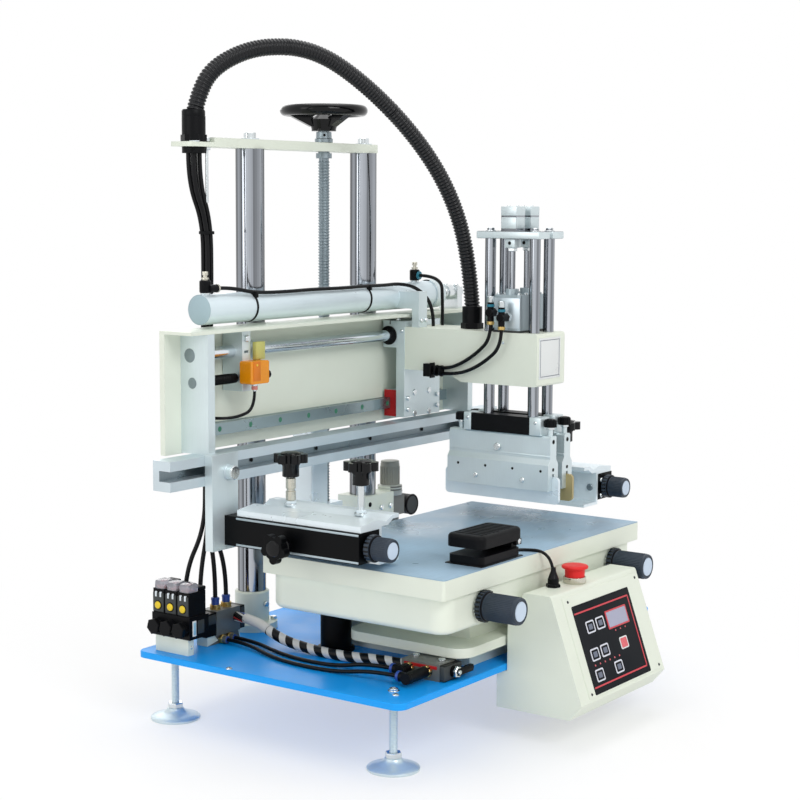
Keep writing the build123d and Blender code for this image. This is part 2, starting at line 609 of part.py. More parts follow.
# Regulator and the bracket that clamps it to a column: bonnet knob, collar, bowl and gauge
reg_x, reg_y = 182, 205
with BuildPart() as regulator:
    drum(reg_x, reg_y, 250, 13.5, 36)
    drum(reg_x, reg_y, 236, 18, 14)
    block(reg_x - 14, reg_x + 20, reg_y - 12, reg_y + 12, 206, 236)
    drum(reg_x + 4, reg_y, 190, 11, 16)
    drum(reg_x + 20, reg_y, 216, 5, 10, "x")
    drum(reg_x + 42, reg_y + 6, 216, 15, 14, "-y")
    block(98, reg_x - 14, 188, 237, 206, 244)
    drum(col_x, col_y, 206, col_d / 2, 38, mode=Mode.SUBTRACT)
save(regulator.part, "regulator")

# Flow block at the front left: manifold with two elbows and a lever valve
flow_x0, flow_x1, flow_y0, flow_y1 = -200, -164, -146, -90
flow_z1 = 116
with BuildPart() as flow_block:
    block(flow_x0, flow_x1, flow_y0, flow_y1, base_top, flow_z1)
    block(flow_x0 + 1, flow_x1 - 1, flow_y0 - 7, flow_y0, base_top + 1, flow_z1 - 1)
    drum(-182, flow_y0 - 7, 106, 7, 5, "-y")
    block(-184, -152, flow_y0 - 17, flow_y0 - 12, 102, 110)
    for reach, joint_y in ((46, -128), (22, -102)):
        drum(flow_x0, joint_y, 106, 7, reach, "-x")
        drum(flow_x0 - reach + 7, joint_y, 106, 6, 16, "y")
save(flow_block.part, "flow_block")

# Conduit: one corrugated hose in three lengths, from the upper gland over the head to the arm
arch_end = (arm_gland_x, arm_gland_y)
arch_len = ((arch_end[0] - gland_x) ** 2 + (arch_end[1] - gland_y) ** 2) ** 0.5
arch = [(0.9, gland_z + gland_h + 3.2), (9, 808), (34, 839), (92, 864), (172, 864), (250, 822), (332, 752),
        (388, 676), (417, 592), (arch_len, arm_top + gland_h + 0.2)]


def arch_point(along, height):
    """Point of the conduit's upright plane between the two glands."""
    share = along / arch_len
    return (gland_x + share * (arch_end[0] - gland_x), gland_y + share * (arch_end[1] - gland_y), height)


arch_route = [arch_point(*p) for p in arch]
arch_radii = bends(arch_route)
cut_low = tuple((a + b) / 2 for a, b in zip(arch_route[3], arch_route[4]))
cut_high = tuple((a + b) / 2 for a, b in zip(arch_route[5], arch_route[6]))
for name, route_points, route_radii in (
        ("conduit_fixed", arch_route[:4] + [cut_low], arch_radii[:3]),
        ("conduit_middle", [cut_low] + arch_route[4:6] + [cut_high], arch_radii[3:5]),
        ("conduit_travel", [cut_high] + arch_route[6:], arch_radii[5:])):
    with BuildPart() as conduit:
        hose(route_points, conduit_d, route_radii)
    save(conduit.part, name)

# Hoses that fall from the upper gland behind the head to the valves
fall_top = col_top - gland_nut_h
fall_steps = 7
fall_ends = [(-214, 198, 153), (-193, 198, 153), (-252, 216, 151), (-238, 203, 145)]
with BuildPart() as valve_hoses:
    for number, end in enumerate(fall_ends):
        side_x = gland_x - 6 + 12 * (number % 2)
        side_y = gland_y - 4 + 8 * (number // 2)
        low_x = -218 + 7 * (number % 2)
        low_y = 204 + 7 * (number // 2)
        route_points = [(side_x, side_y, fall_top), (side_x, side_y, 688), (low_x, low_y, 640)]
        for level in range(1, fall_steps):
            sway = 1.2 if level % 2 else -1.2
            route_points.append((low_x + sway, low_y, 640 - level * 66))
        hose(route_points + [(end[0], end[1], end[2] + 40), end], hose_d + 1)
save(valve_hoses.part, "valve_hoses")

# Hoses on the base plate: the wrapped loom and two single hoses to the flow block
loom = [(-188, 185, 126), (-188, 152, 126), (-190, 108, 107), (-191, 54, 101.5), (-192, 0, 101.5),
        (-186, -50, 104.5), (-186, -90, 104.5)]
floor_z = base_top + hose_d / 2 + 0.2
with BuildPart() as base_hoses:
    hose(loom, loom_d)
    hose([(-214, 177, 101), (-214, 144, 101), (-236, 88, floor_z), (-247, 32, floor_z), (-244, -26, floor_z),
          (-239, -76, 106), (-239, -112, 106)], hose_d)
    hose([(-200, 177, 101), (-200, 144, 101), (-216, 92, floor_z), (-226, 42, floor_z), (-223, -8, floor_z),
          (-215, -52, 106), (-215, -86, 106)], hose_d)
save(base_hoses.part, "base_hoses")

# Hoses that ride on the carriage: two to the stroke cylinder and two to the lift cylinders
with BuildPart() as carriage_hoses:
    hose([(left_port_x + 16, elbow_y, 558), (-222, elbow_y, 558), (-184, 153, 550), (-124, 152.2, 549.3),
          (-64, 153.4, 550), (-4, 152.2, 549.3), (50, 153.4, 550), (94, 151.5, 549.6), (126, 149, 551),
          (150, 135, 545), (163, 116, 520), (163, 116, arm_top)], hose_d)
    hose([(port_x, tube_y - 9, 560), (port_x, 121, 560), (port_x - 1, 118, 524), (port_x - 1, 118, arm_top)], hose_d)
    hose([fittings[0], (114, -12, 481), (115.5, 10, 461), (117.5, 36, 445), (120, 62, 435.5), (120, 88, 435.5)], hose_d)
    hose([fittings[1], (110, -32, 472), (111, -6, 450), (115, 26, 434), (120, 58, 428), (120, 88, 428)], hose_d)
save(carriage_hoses.part, "carriage_hoses")

# Sensor cable from the proximity sensor to the beam
with BuildPart() as sensor_cable:
    hose([(sensor_x, sensor_y, 429), (sensor_x, sensor_y, 405), (-230, 142, 396), (-260, 150, 396),
          (-260, beam_face_y, 396)], cable_d)
save(sensor_cable.part, "sensor_cable")

# Pedal cord over the table's front edge into the control box
cord_z = table_top + cable_d / 2 + 0.3
with BuildPart() as pedal_cord:
    hose([(pedal_x1, -150, cord_z), (-40, -150, cord_z), (cord_gland_x, cord_gland_y, cord_z + 0.7),
          (cord_gland_x, cord_gland_y, ctrl_z1 + 11)], cable_d)
save(pedal_cord.part, "pedal_cord")

print(len(written), "pieces")
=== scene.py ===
from math import ceil, cos, hypot, pi, radians, sin

import bmesh
import bpy
from mathutils import Matrix, Vector


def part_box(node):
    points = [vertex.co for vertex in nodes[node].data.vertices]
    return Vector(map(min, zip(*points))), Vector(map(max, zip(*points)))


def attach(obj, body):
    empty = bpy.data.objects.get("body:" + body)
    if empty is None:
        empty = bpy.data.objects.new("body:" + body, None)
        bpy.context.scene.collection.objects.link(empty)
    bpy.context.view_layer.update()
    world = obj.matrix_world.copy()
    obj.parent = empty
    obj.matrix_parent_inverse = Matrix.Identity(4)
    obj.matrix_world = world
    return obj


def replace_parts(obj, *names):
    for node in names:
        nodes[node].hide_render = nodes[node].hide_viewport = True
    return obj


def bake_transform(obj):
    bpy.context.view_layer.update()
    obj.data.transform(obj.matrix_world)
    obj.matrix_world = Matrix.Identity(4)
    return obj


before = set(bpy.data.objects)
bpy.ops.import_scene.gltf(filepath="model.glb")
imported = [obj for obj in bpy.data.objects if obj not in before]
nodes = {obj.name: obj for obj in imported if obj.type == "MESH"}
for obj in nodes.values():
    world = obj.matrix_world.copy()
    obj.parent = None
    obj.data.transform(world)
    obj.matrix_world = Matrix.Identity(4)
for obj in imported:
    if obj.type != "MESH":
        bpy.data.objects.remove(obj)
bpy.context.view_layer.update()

# Every place and size below is in millimetres of the part's frame.
MM = 0.001


def at(x, y, z):
    """Point of the part's frame, in Blender's metres."""
    return Vector((x, y, z)) * MM


def corners(node):
    """Lowest and highest corner of a CAD node, in millimetres."""
    low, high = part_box(node)
    return low / MM, high / MM


# Camera at the photograph's place: eye, level look along a heading, tilted down and rolled a little
EYE = (-1898.06, -1300.31, 669.43)
HEADING, TILT, ROLL = radians(35.5724), radians(6.5160), radians(0.2660)
LENS, SENSOR, FAR_CLIP = 79.11, 36, 50

look = Vector((cos(HEADING) * cos(TILT), sin(HEADING) * cos(TILT), -sin(TILT)))
level = Vector((sin(HEADING), -cos(HEADING), 0))
upright = level.cross(look)
right = level * cos(ROLL) + upright * sin(ROLL)
up = upright * cos(ROLL) - level * sin(ROLL)
camera_data = bpy.data.cameras.new("camera")
camera_data.lens = LENS
camera_data.sensor_width = SENSOR
camera_data.clip_end = FAR_CLIP
camera = bpy.data.objects.new("camera", camera_data)
camera.matrix_world = Matrix.Translation(at(*EYE)) @ Matrix((right, up, -look)).transposed().to_4x4()
bpy.context.scene.collection.objects.link(camera)
bpy.context.scene.camera = camera


def tone(red, green, blue):
    """Screen colour of 0 to 255 as Blender's linear colour."""
    steps = []
    for value in (red / 255, green / 255, blue / 255):
        steps.append(value / 12.92 if value <= 0.04045 else ((value + 0.055) / 1.055) ** 2.4)
    return (*steps, 1)


def shade(colour, factor):
    """The same colour, lighter or darker."""
    return (*[min(1, c * factor) for c in colour[:3]], 1)


def feed(tree, node, values):
    """Fill a shader node's inputs, each with a value or from another node's output."""
    for socket, value in values.items():
        if isinstance(value, bpy.types.NodeSocket):
            tree.links.new(value, node.inputs[socket])
        else:
            node.inputs[socket].default_value = value


def shader_node(tree, kind, values, operation="", blend=""):
    """Outputs of a new shader node whose inputs are filled."""
    made = tree.nodes.new("ShaderNode" + kind)
    if operation:
        made.operation = operation
    if blend:
        made.data_type, made.blend_type = "RGBA", blend
    feed(tree, made, values)
    return made.outputs


def colour_ramp(tree, along, stops):
    """Colours over a run from 0 to 1, from pairs of place and colour."""
    ramp = tree.nodes.new("ShaderNodeValToRGB")
    feed(tree, ramp, {"Fac": along})
    elements = ramp.color_ramp.elements
    while len(elements) < len(stops):
        elements.new(0.5)
    for element, (where, colour) in zip(elements, stops):
        element.position = where
        element.color = colour
    return ramp.outputs["Color"]


# Shares of the noise, limits between dark and light, of worn edges and of gloss, and the relief's depth
FINE_SHARE, DARK_AT, LIGHT_AT, LIGHT_SHARE = 0.35, 0.42, 0.92, 0.6
FLAT_FACE, SHARP_EDGE, EDGE_LIGHT = 0.97, 0.8, 1.7
GLOSS_LOW, GLOSS_HIGH, LEAST_ROUGH, RELIEF_DEPTH = 0.3, 0.7, 0.02, 0.2
# Direction across which the painted reflection bands run, and the tint of that painted reflection
REFLECTION_BANDS_SIDE, REFLECTION_BANDS_TINT = (0.58, -0.81, 0.35), (1, 1.02, 1.05)


def finish(name, screen, rough, spread, grain, relief, metal=0.0, stretch=(1, 1, 1), broad=14,
           soft_edge=0.5, wear=0.0, clear=0.0, mottle=0.12, shine=0.5, painted_reflection_bands=()):
    """Material with broad and fine variation, a fine relief, and edges that catch the light.
    Screen is its colour of 0 to 255, spread and mottle how far its colour and its gloss vary.
    Painted reflection bands are pairs of place and brightness across a polished bar, from one side to the
    other; they paint a reflection into its colour by the way each face turns."""
    made = bpy.data.materials.new(name)
    made.use_nodes = True
    tree, colour = made.node_tree, tone(*screen)

    place = shader_node(tree, "TexCoord", {})["Object"]
    scaled = shader_node(tree, "Mapping", {"Vector": place, "Scale": stretch})["Vector"]
    cloud = shader_node(tree, "TexNoise", {"Vector": place, "Scale": broad, "Detail": 4})["Fac"]
    fine = shader_node(tree, "TexNoise", {"Vector": scaled, "Scale": grain, "Detail": 3})["Fac"]
    both = shader_node(tree, "Math", {0: fine, 1: FINE_SHARE, 2: cloud}, "MULTIPLY_ADD")["Value"]
    surface = colour_ramp(tree, both, [(DARK_AT, shade(colour, 1 - spread)),
                                       (LIGHT_AT, shade(colour, 1 + spread * LIGHT_SHARE))])
    # Painted reflection: brightness bands by the way each face turns, multiplied into the colour
    if painted_reflection_bands:
        facing = shader_node(tree, "NewGeometry", {})["True Normal"]
        across = shader_node(tree, "VectorMath", {0: facing, 1: REFLECTION_BANDS_SIDE}, "DOT_PRODUCT")["Value"]
        placed = shader_node(tree, "MapRange", {"Value": across, "From Min": -1})["Result"]
        painted_reflection_ramp = colour_ramp(tree, placed, [(where, (*[bright * tint for tint in REFLECTION_BANDS_TINT], 1))
                                             for where, bright in painted_reflection_bands])
        surface = shader_node(tree, "Mix", {"Factor": 1, "A": surface, "B": painted_reflection_ramp},
                              blend="MULTIPLY")["Result"]

    bevel = tree.nodes.new("ShaderNodeBevel")
    bevel.samples = 4
    feed(tree, bevel, {"Radius": soft_edge * MM})
    rounded = bevel.outputs["Normal"]
    if wear:
        flat = shader_node(tree, "NewGeometry", {})["Normal"]
        turn = shader_node(tree, "VectorMath", {0: rounded, 1: flat}, "DOT_PRODUCT")["Value"]
        edge = shader_node(tree, "MapRange", {"Value": turn, "From Min": FLAT_FACE, "From Max": SHARP_EDGE,
                                              "To Max": wear})["Result"]
        surface = shader_node(tree, "Mix", {"Factor": edge, "A": surface, "B": shade(colour, EDGE_LIGHT)},
                              blend="MIX")["Result"]

    gloss = shader_node(tree, "MapRange", {"Value": cloud, "From Min": GLOSS_LOW, "From Max": GLOSS_HIGH,
                                           "To Min": max(LEAST_ROUGH, rough * (1 - mottle * 2)),
                                           "To Max": min(1, rough * (1 + mottle * 2))})["Result"]
    bump = shader_node(tree, "Bump", {"Strength": relief, "Distance": RELIEF_DEPTH * MM, "Height": fine,
                                      "Normal": rounded})["Normal"]
    feed(tree, tree.nodes["Principled BSDF"],
         {"Metallic": metal, "Specular IOR Level": shine, "Transmission Weight": clear,
          "Base Color": surface, "Roughness": gloss, "Normal": bump})
    return made


# Brightness of the painted reflection across a round polished bar, from one side to the other
PAINTED_REFLECTION_BANDS = ((0.0, 0.08), (0.07, 0.12), (0.12, 0.42), (0.2, 0.34), (0.25, 0.13), (0.3, 0.52), (0.45, 0.6),
               (0.6, 0.48), (0.68, 0.22), (0.8, 0.34), (0.93, 0.48), (0.97, 0.16), (1.0, 0.12))

# Finishes: name, screen colour, roughness, spread of the colour, grain, relief
cream = finish("cream_powder_coat", (228, 234, 220), 0.42, 0.04, 1500, 0.22, wear=0.12)
blue = finish("blue_paint", (12, 160, 248), 0.4, 0.06, 1200, 0.16, wear=0.25, shine=0.3)
# Hard chrome with a painted reflection in bands across its bars
chrome = finish("hard_chrome", (226, 230, 236), 0.1, 0.05, 700, 0.03, metal=1, stretch=(1, 1, 0.05),
                painted_reflection_bands=PAINTED_REFLECTION_BANDS)
steel = finish("ground_steel", (142, 154, 160), 0.34, 0.2, 800, 0.12, metal=0.9)
rail_steel = finish("rail_steel", (150, 166, 170), 0.3, 0.1, 800, 0.08, metal=0.9, stretch=(0.05, 1, 1))
bright_steel = finish("bright_steel", (214, 220, 222), 0.22, 0.1, 500, 0.05, metal=1)
foot_steel = finish("foot_steel", (212, 226, 230), 0.34, 0.07, 500, 0.06, metal=0.45)
aluminium = finish("matt_aluminium", (206, 218, 224), 0.42, 0.07, 1100, 0.14, metal=0.7,
                   stretch=(0.08, 1, 1), wear=0.2)
end_aluminium = finish("milled_aluminium", (212, 224, 227), 0.4, 0.07, 900, 0.16, metal=0.55,
                       stretch=(1, 1, 0.08), wear=0.15)
cast_aluminium = finish("cylinder_aluminium", (170, 184, 190), 0.4, 0.08, 900, 0.14, metal=0.6, wear=0.15)
tube_aluminium = finish("anodised_tube", (222, 236, 242), 0.34, 0.03, 900, 0.06, metal=0.35,
                        stretch=(0.05, 1, 1))
tube_disc = finish("tube_disc", (166, 188, 196), 0.5, 0.04, 700, 0.05, metal=0.2, shine=0.3)
clamp_aluminium = finish("drawn_aluminium", (230, 241, 246), 0.34, 0.04, 1000, 0.1, metal=0.35,
                         stretch=(1, 0.05, 1))
rod_steel = finish("polished_rod", (222, 228, 234), 0.14, 0.06, 600, 0.04, metal=1, stretch=(0.05, 1, 1))
black_gloss = finish("black_gloss_moulding", (7, 8, 11), 0.14, 0.2, 300, 0.04, shine=0.25)
black = finish("black_moulding", (9, 10, 13), 0.42, 0.2, 1400, 0.25, shine=0.12)
black_rubber = finish("black_hose", (7, 8, 11), 0.34, 0.25, 1200, 0.15, soft_edge=0.2, shine=0.2)
conduit_black = finish("black_conduit", (8, 10, 15), 0.3, 0.2, 1200, 0.1, soft_edge=0.2, shine=0.35)
black_metal = finish("black_anodised", (5, 6, 8), 0.4, 0.2, 1100, 0.18, stretch=(1, 0.1, 1), wear=0.2,
                     shine=0.1)
slate = finish("slate_moulding", (44, 55, 68), 0.4, 0.12, 1300, 0.3, shine=0.35)
charcoal = finish("charcoal_moulding", (58, 62, 62), 0.5, 0.12, 1300, 0.35, shine=0.3)
white = finish("white_plastic", (218, 226, 232), 0.4, 0.04, 900, 0.1)
dial_face = finish("dial_face", (196, 212, 230), 0.34, 0.04, 900, 0.08)
red = finish("red_moulding", (176, 18, 24), 0.34, 0.1, 900, 0.12, shine=0.35)
stop_red = finish("stop_red", (222, 44, 44), 0.42, 0.07, 900, 0.08, shine=0.2)
orange = finish("orange_resin", (240, 150, 14), 0.24, 0.14, 400, 0.05, shine=0.4)
# The sensor's orange, darker, for its front face: painted shade
painted_shade_orange = finish("orange_painted_shade", (224, 124, 10), 0.3, 0.1, 600, 0.05, shine=0.4)
straw = finish("straw_resin", (212, 210, 120), 0.3, 0.1, 400, 0.06, clear=0.2)
brass = finish("brass", (206, 176, 110), 0.3, 0.1, 700, 0.08, metal=0.9)
teal = finish("teal_ring", (28, 118, 140), 0.34, 0.08, 800, 0.08)
blue_ring = finish("blue_ring", (40, 76, 160), 0.34, 0.08, 800, 0.08)
green = finish("green_plug", (48, 120, 92), 0.45, 0.1, 800, 0.1)
yellow = finish("yellow_dot", (232, 200, 30), 0.4, 0.06, 800, 0.05)
pink = finish("pink_clear", (226, 140, 130), 0.2, 0.08, 400, 0.05, clear=0.2)
blue_pale = finish("pale_blue_mark", (150, 196, 214), 0.5, 0.06, 700, 0.02)
clear_cover = finish("clear_cover", (206, 206, 216), 0.12, 0.06, 400, 0.03, clear=0.6)
smoke = finish("clear_cap", (200, 208, 206), 0.12, 0.06, 300, 0.03, clear=0.35)
panel_black = finish("panel_film", (20, 23, 28), 0.5, 0.12, 1600, 0.12, soft_edge=0.1, shine=0.08)
panel_red = finish("panel_red", (206, 54, 66), 0.4, 0.06, 1200, 0.06, soft_edge=0.1)
panel_line = finish("panel_line", (218, 220, 230), 0.4, 0.05, 1200, 0.06, soft_edge=0.1)
window = finish("display_window", (166, 168, 190), 0.2, 0.06, 500, 0.02)
light_red = finish("panel_light", (222, 96, 104), 0.3, 0.05, 500, 0.02)
legend = finish("panel_legend", (112, 118, 134), 0.5, 0.06, 900, 0.02, shine=0.2)
nickel = finish("nickel_sleeve", (204, 201, 188), 0.26, 0.1, 600, 0.06, metal=0.9)
knob_grey = finish("knob_grey", (160, 160, 150), 0.5, 0.08, 900, 0.2)
collar_pale = finish("collar_pale", (200, 205, 196), 0.36, 0.06, 700, 0.08)
table_metal = finish("table_sheet", (156, 184, 204), 0.42, 0.2, 420, 0.06, metal=0.3, broad=7, mottle=0.3,
                     stretch=(0.1, 1, 1), shine=0.3)
blade_rubber = finish("blade_rubber", (176, 160, 112), 0.5, 0.08, 900, 0.15)
grey = finish("grey_casting", (112, 114, 110), 0.45, 0.1, 900, 0.25, metal=0.2, wear=0.2)
# Near-black for holes, socket recesses, grooves and slits, where there is only shade: painted shade
painted_hole_shade = finish("painted_recess_shade", (16, 16, 18), 0.6, 0.2, 800, 0.1, shine=0.15)
plate_face = finish("plain_label", (226, 229, 228), 0.32, 0.04, 1200, 0.05)
wire_red = finish("wire_red", (176, 38, 34), 0.4, 0.08, 800, 0.05)
wire_blue = finish("wire_blue", (44, 84, 160), 0.4, 0.08, 800, 0.05)
wire_white = finish("wire_white", (220, 219, 214), 0.42, 0.06, 800, 0.05)


# Cords: each one a smooth line through its route's points
def line_curve(name, points):
    """Curve of one smooth spline with the route's points as its control points."""
    curve = bpy.data.curves.new(name, "CURVE")
    curve.dimensions = "3D"
    curve.resolution_u = 10
    spline = curve.splines.new("NURBS")
    spline.points.add(len(points) - 1)
    for control, point in zip(spline.points, points):
        control.co = (*at(*point), 1)
    spline.order_u = 3
    spline.use_endpoint_u = True
    return curve


def link(name, data, body=None):
    """New object in the scene, riding on a body."""
    obj = bpy.data.objects.new(name, data)
    bpy.context.scene.collection.objects.link(obj)
    if body:
        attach(obj, body)
    return obj


def centre_line(points):
    """Points along the route's smooth line, in metres."""
    bare = link("line", line_curve("line", points))
    mesh = bpy.data.meshes.new_from_object(bare)
    found = [v.co.copy() for v in mesh.vertices]
    bpy.data.objects.remove(bare)
    return found


def evenly(path, step):
    """The same line at even steps."""
    run = [0.0]
    for a, b in zip(path, path[1:]):
        run.append(run[-1] + (b - a).length)
    count = max(2, ceil(run[-1] / step))
    made, piece_no = [], 0
    for number in range(count + 1):
        goal = run[-1] * number / count
        while piece_no < len(path) - 2 and run[piece_no + 1] < goal:
            piece_no += 1
        span = run[piece_no + 1] - run[piece_no]
        made.append(path[piece_no].lerp(path[piece_no + 1], (goal - run[piece_no]) / span))
    return made


def tube_mesh(name, path, radius_at, sides=20, turns_per_m=0.0):
    """Tube mesh round a line, with a radius that depends on the place along it, closed at its ends."""
    mesh = bmesh.new()
    side = Vector((0, 0, 1)).cross(path[1] - path[0])
    if side.length < 1e-9:
        side = Vector((1, 0, 0))
    rings, run = [], 0.0
    for number, point in enumerate(path):
        before, after = path[max(0, number - 1)], path[min(len(path) - 1, number + 1)]
        ahead = (after - before).normalized()
        side = (side - ahead * side.dot(ahead)).normalized()
        other = ahead.cross(side)
        if number:
            run += (point - path[number - 1]).length
        radius, turned = radius_at(number, run), 2 * pi * run * turns_per_m
        angles = [turned + 2 * pi * k / sides for k in range(sides)]
        rings.append([mesh.verts.new(point + (side * cos(a) + other * sin(a)) * radius) for a in angles])
    for low, high in zip(rings, rings[1:]):
        for k in range(sides):
            mesh.faces.new((low[k], low[(k + 1) % sides], high[(k + 1) % sides], high[k]))
    mesh.faces.new(list(reversed(rings[0])))
    mesh.faces.new(rings[-1])
    bmesh.ops.recalc_face_normals(mesh, faces=mesh.faces)
    data = bpy.data.meshes.new(name)
    mesh.to_mesh(data)
    mesh.free()
    data.shade_smooth()
    return data


def soft_hose(name, body, points, width, node, material=black_rubber):
    """Plain hose or cable that rides on one body and stands for a CAD node."""
    curve = line_curve(name, points)
    curve.bevel_depth = width / 2 * MM
    curve.bevel_resolution = 3
    curve.use_fill_caps = True
    curve.materials.append(material)
    obj = link(name, curve, body)
    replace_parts(obj, node)
    return obj


# Corrugated conduit in its three lengths, from the upper gland over the head to the arm's gland
CONDUIT_D, RIB_PITCH = 22, 4.8
RIB_STEPS = (0, 0, 0.7, 2.0, 0.9)
upper_gland, arm_gland = (-230, 214), (160, 48)
conduit_reach = hypot(arm_gland[0] - upper_gland[0], arm_gland[1] - upper_gland[1])
arch = [(0.9, 775.2), (9, 808), (34, 839), (92, 864), (172, 864), (250, 822), (332, 752), (388, 676),
        (417, 592), (conduit_reach, 521.2)]


def arch_point(along, height):
    """Point of the conduit's upright plane between the two glands."""
    share = along / conduit_reach
    return (upper_gland[0] + share * (arm_gland[0] - upper_gland[0]),
            upper_gland[1] + share * (arm_gland[1] - upper_gland[1]), height)


arch_route = [arch_point(*p) for p in arch]
cut_low = tuple((a + b) / 2 for a, b in zip(arch_route[3], arch_route[4]))
cut_high = tuple((a + b) / 2 for a, b in zip(arch_route[5], arch_route[6]))
for name, route, length, bodies in (
        ("conduit_fixed", arch_route[:4] + [cut_low], 175, ("root", "lift")),
        ("conduit_middle", [cut_low] + arch_route[4:6] + [cut_high], 181, ("lift", "head")),
        ("conduit_travel", [cut_high] + arch_route[6:], 306, ("head", "carriage"))):
    line = evenly(centre_line(route), RIB_PITCH * MM / len(RIB_STEPS))

    def ribbed(number, run):
        return (CONDUIT_D / 2 - RIB_STEPS[number % len(RIB_STEPS)]) * MM

    mesh = tube_mesh(name + "_hose", line, ribbed)
    mesh.materials.append(conduit_black)
    conduit = link(name + "_hose", mesh)
    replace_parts(conduit, name)
    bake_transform(conduit)

# Hoses that fall from the upper gland behind the head to the valves, two by two
FALL_D, FALL_TOP, FALL_BEND, FALL_START = 6, 726, 688, 640
FALL_STEP, FALL_STEPS, FALL_SWAY, FALL_LEAD = 66, 7, 1.2, 40
VALVE_PORTS = ((-214, 198, 153), (-193, 198, 153), (-252, 216, 151), (-238, 203, 145))
for number, (end, length) in enumerate(zip(VALVE_PORTS, (576, 577, 585, 587))):
    column, row = number % 2, number // 2
    top = (upper_gland[0] - 6 + 12 * column, upper_gland[1] - 4 + 8 * row)
    low = (-218 + 7 * column, 204 + 7 * row)
    route = [(*top, FALL_TOP), (*top, FALL_BEND), (*low, FALL_START)]
    for step in range(1, FALL_STEPS):
        sway = FALL_SWAY if step % 2 else -FALL_SWAY
        route.append((low[0] + sway, low[1], FALL_START - step * FALL_STEP))
    route += [(end[0], end[1], end[2] + FALL_LEAD), end]
    soft_hose(f"valve_hose_{number + 1}", "root", route, FALL_D, "valve_hoses")

# Hoses on the base plate: the wrapped loom and two single hoses to the flow block
HOSE_D, LOOM_D, CABLE_D, FLOOR_Z = 5, 12, 4, 97.7
loom_route = [(-188, 185, 126), (-188, 152, 126), (-190, 108, 107), (-191, 54, 101.5), (-192, 0, 101.5),
              (-186, -50, 104.5), (-186, -90, 104.5)]
soft_hose("base_loom", "root", loom_route, LOOM_D, "base_hoses")
soft_hose("base_hose_1", "root",
          [(-214, 177, 101), (-214, 144, 101), (-236, 88, FLOOR_Z), (-247, 32, FLOOR_Z),
           (-244, -26, FLOOR_Z), (-239, -76, 106), (-239, -112, 106)], HOSE_D, "base_hoses")
soft_hose("base_hose_2", "root",
          [(-200, 177, 101), (-200, 144, 101), (-216, 92, FLOOR_Z), (-226, 42, FLOOR_Z),
           (-223, -8, FLOOR_Z), (-215, -52, 106), (-215, -86, 106)], HOSE_D, "base_hoses")

# Hoses that ride on the carriage: along the stroke cylinder and from the two lift cylinders
LIFT_PORTS = ((114, -12, 503), (110, -32, 497))
for number, (route, length) in enumerate((
        ([(-246, 162, 558), (-222, 162, 558), (-184, 153, 550), (-124, 152.2, 549.3), (-64, 153.4, 550),
          (-4, 152.2, 549.3), (50, 153.4, 550), (94, 151.5, 549.6), (126, 149, 551), (150, 135, 545),
          (163, 116, 520), (163, 116, 490)], 463),
        ([(190, 159, 560), (190, 121, 560), (189, 118, 524), (189, 118, 490)], 102),
        ([LIFT_PORTS[0], (114, -12, 481), (115.5, 10, 461), (117.5, 36, 445), (120, 62, 435.5),
          (120, 88, 435.5)], 135),
        ([LIFT_PORTS[1], (110, -32, 472), (111, -6, 450), (115, 26, 434), (120, 58, 428), (120, 88, 428)],
         156))):
    soft_hose(f"carriage_hose_{number + 1}", "carriage", route, HOSE_D, "carriage_hoses")

soft_hose("sensor_lead", "head",
          [(-205, 137, 429), (-205, 137, 405), (-230, 142, 396), (-260, 150, 396), (-260, 180, 396)],
          CABLE_D, "sensor_cable")

# Pedal cord over the table's front edge into the control box
PEDAL_GLAND, CORD_STEP = (-28, -200), 1.5
pedal_route = [(-65, -150, 232.3), (-40, -150, 232.3), (*PEDAL_GLAND, 233), (*PEDAL_GLAND, 199)]
pedal_line = evenly(centre_line(pedal_route), CORD_STEP * MM)
pedal_mesh = tube_mesh("pedal_lead", pedal_line, lambda number, run: CABLE_D / 2 * MM, 12)
pedal_mesh.materials.append(black_rubber)
pedal_lead = link("pedal_lead", pedal_mesh)
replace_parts(pedal_lead, "pedal_cord")
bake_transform(pedal_lead)


# Materials of the CAD pieces, face by face where a piece has several
def paint(node, first, *rules):
    """Give a CAD node its finish, and another one to the faces for which a rule holds."""
    mesh = nodes[node].data
    mesh.materials.clear()
    mesh.materials.append(first)
    for material, _ in rules:
        mesh.materials.append(material)
    for face in mesh.polygons:
        spot = face.center / MM
        face.material_index = 0
        for number, (_, holds) in enumerate(rules):
            if holds(spot, face.normal):
                face.material_index = number + 1
                break


for material, names in (
        (blue, "base_plate"), (chrome, "columns squeegee_lift_frame flood_bar_lift_frame"),
        (cream, "column_sockets column_sleeves head_beam table_box"), (black_gloss, "handwheel"),
        (rod_steel, "guide_rod"), (rail_steel, "linear_rail"), (bright_steel, "stroke_rod"),
        (end_aluminium, "arm_brackets carriage_plate stop_bracket"), (blade_rubber, "squeegee_blade"),
        (clamp_aluminium, "left_frame_clamp right_frame_clamp flood_bar_blade lift_cylinder"),
        (black, "pedal_base pedal_cover"), (black_metal, "left_frame_arm right_frame_arm"),
        (slate, "left_arm_knob right_arm_knob left_table_knob right_table_knob")):
    for name in names.split():
        paint(name, material)
for name in ("left_back", "left_front", "right_back", "right_front"):
    paint(f"{name}_clamp_screw", black_gloss, (bright_steel, lambda p, n: p.z < 329))

# The limits in the rules lie between the faces of one form and the next
BAR_SLOT_Y = 152
SHOCK_Y, SHOCK_Z = 155, 444
POST_X, POST_Y = 150, 49
table_low, table_high = corners("table_top")
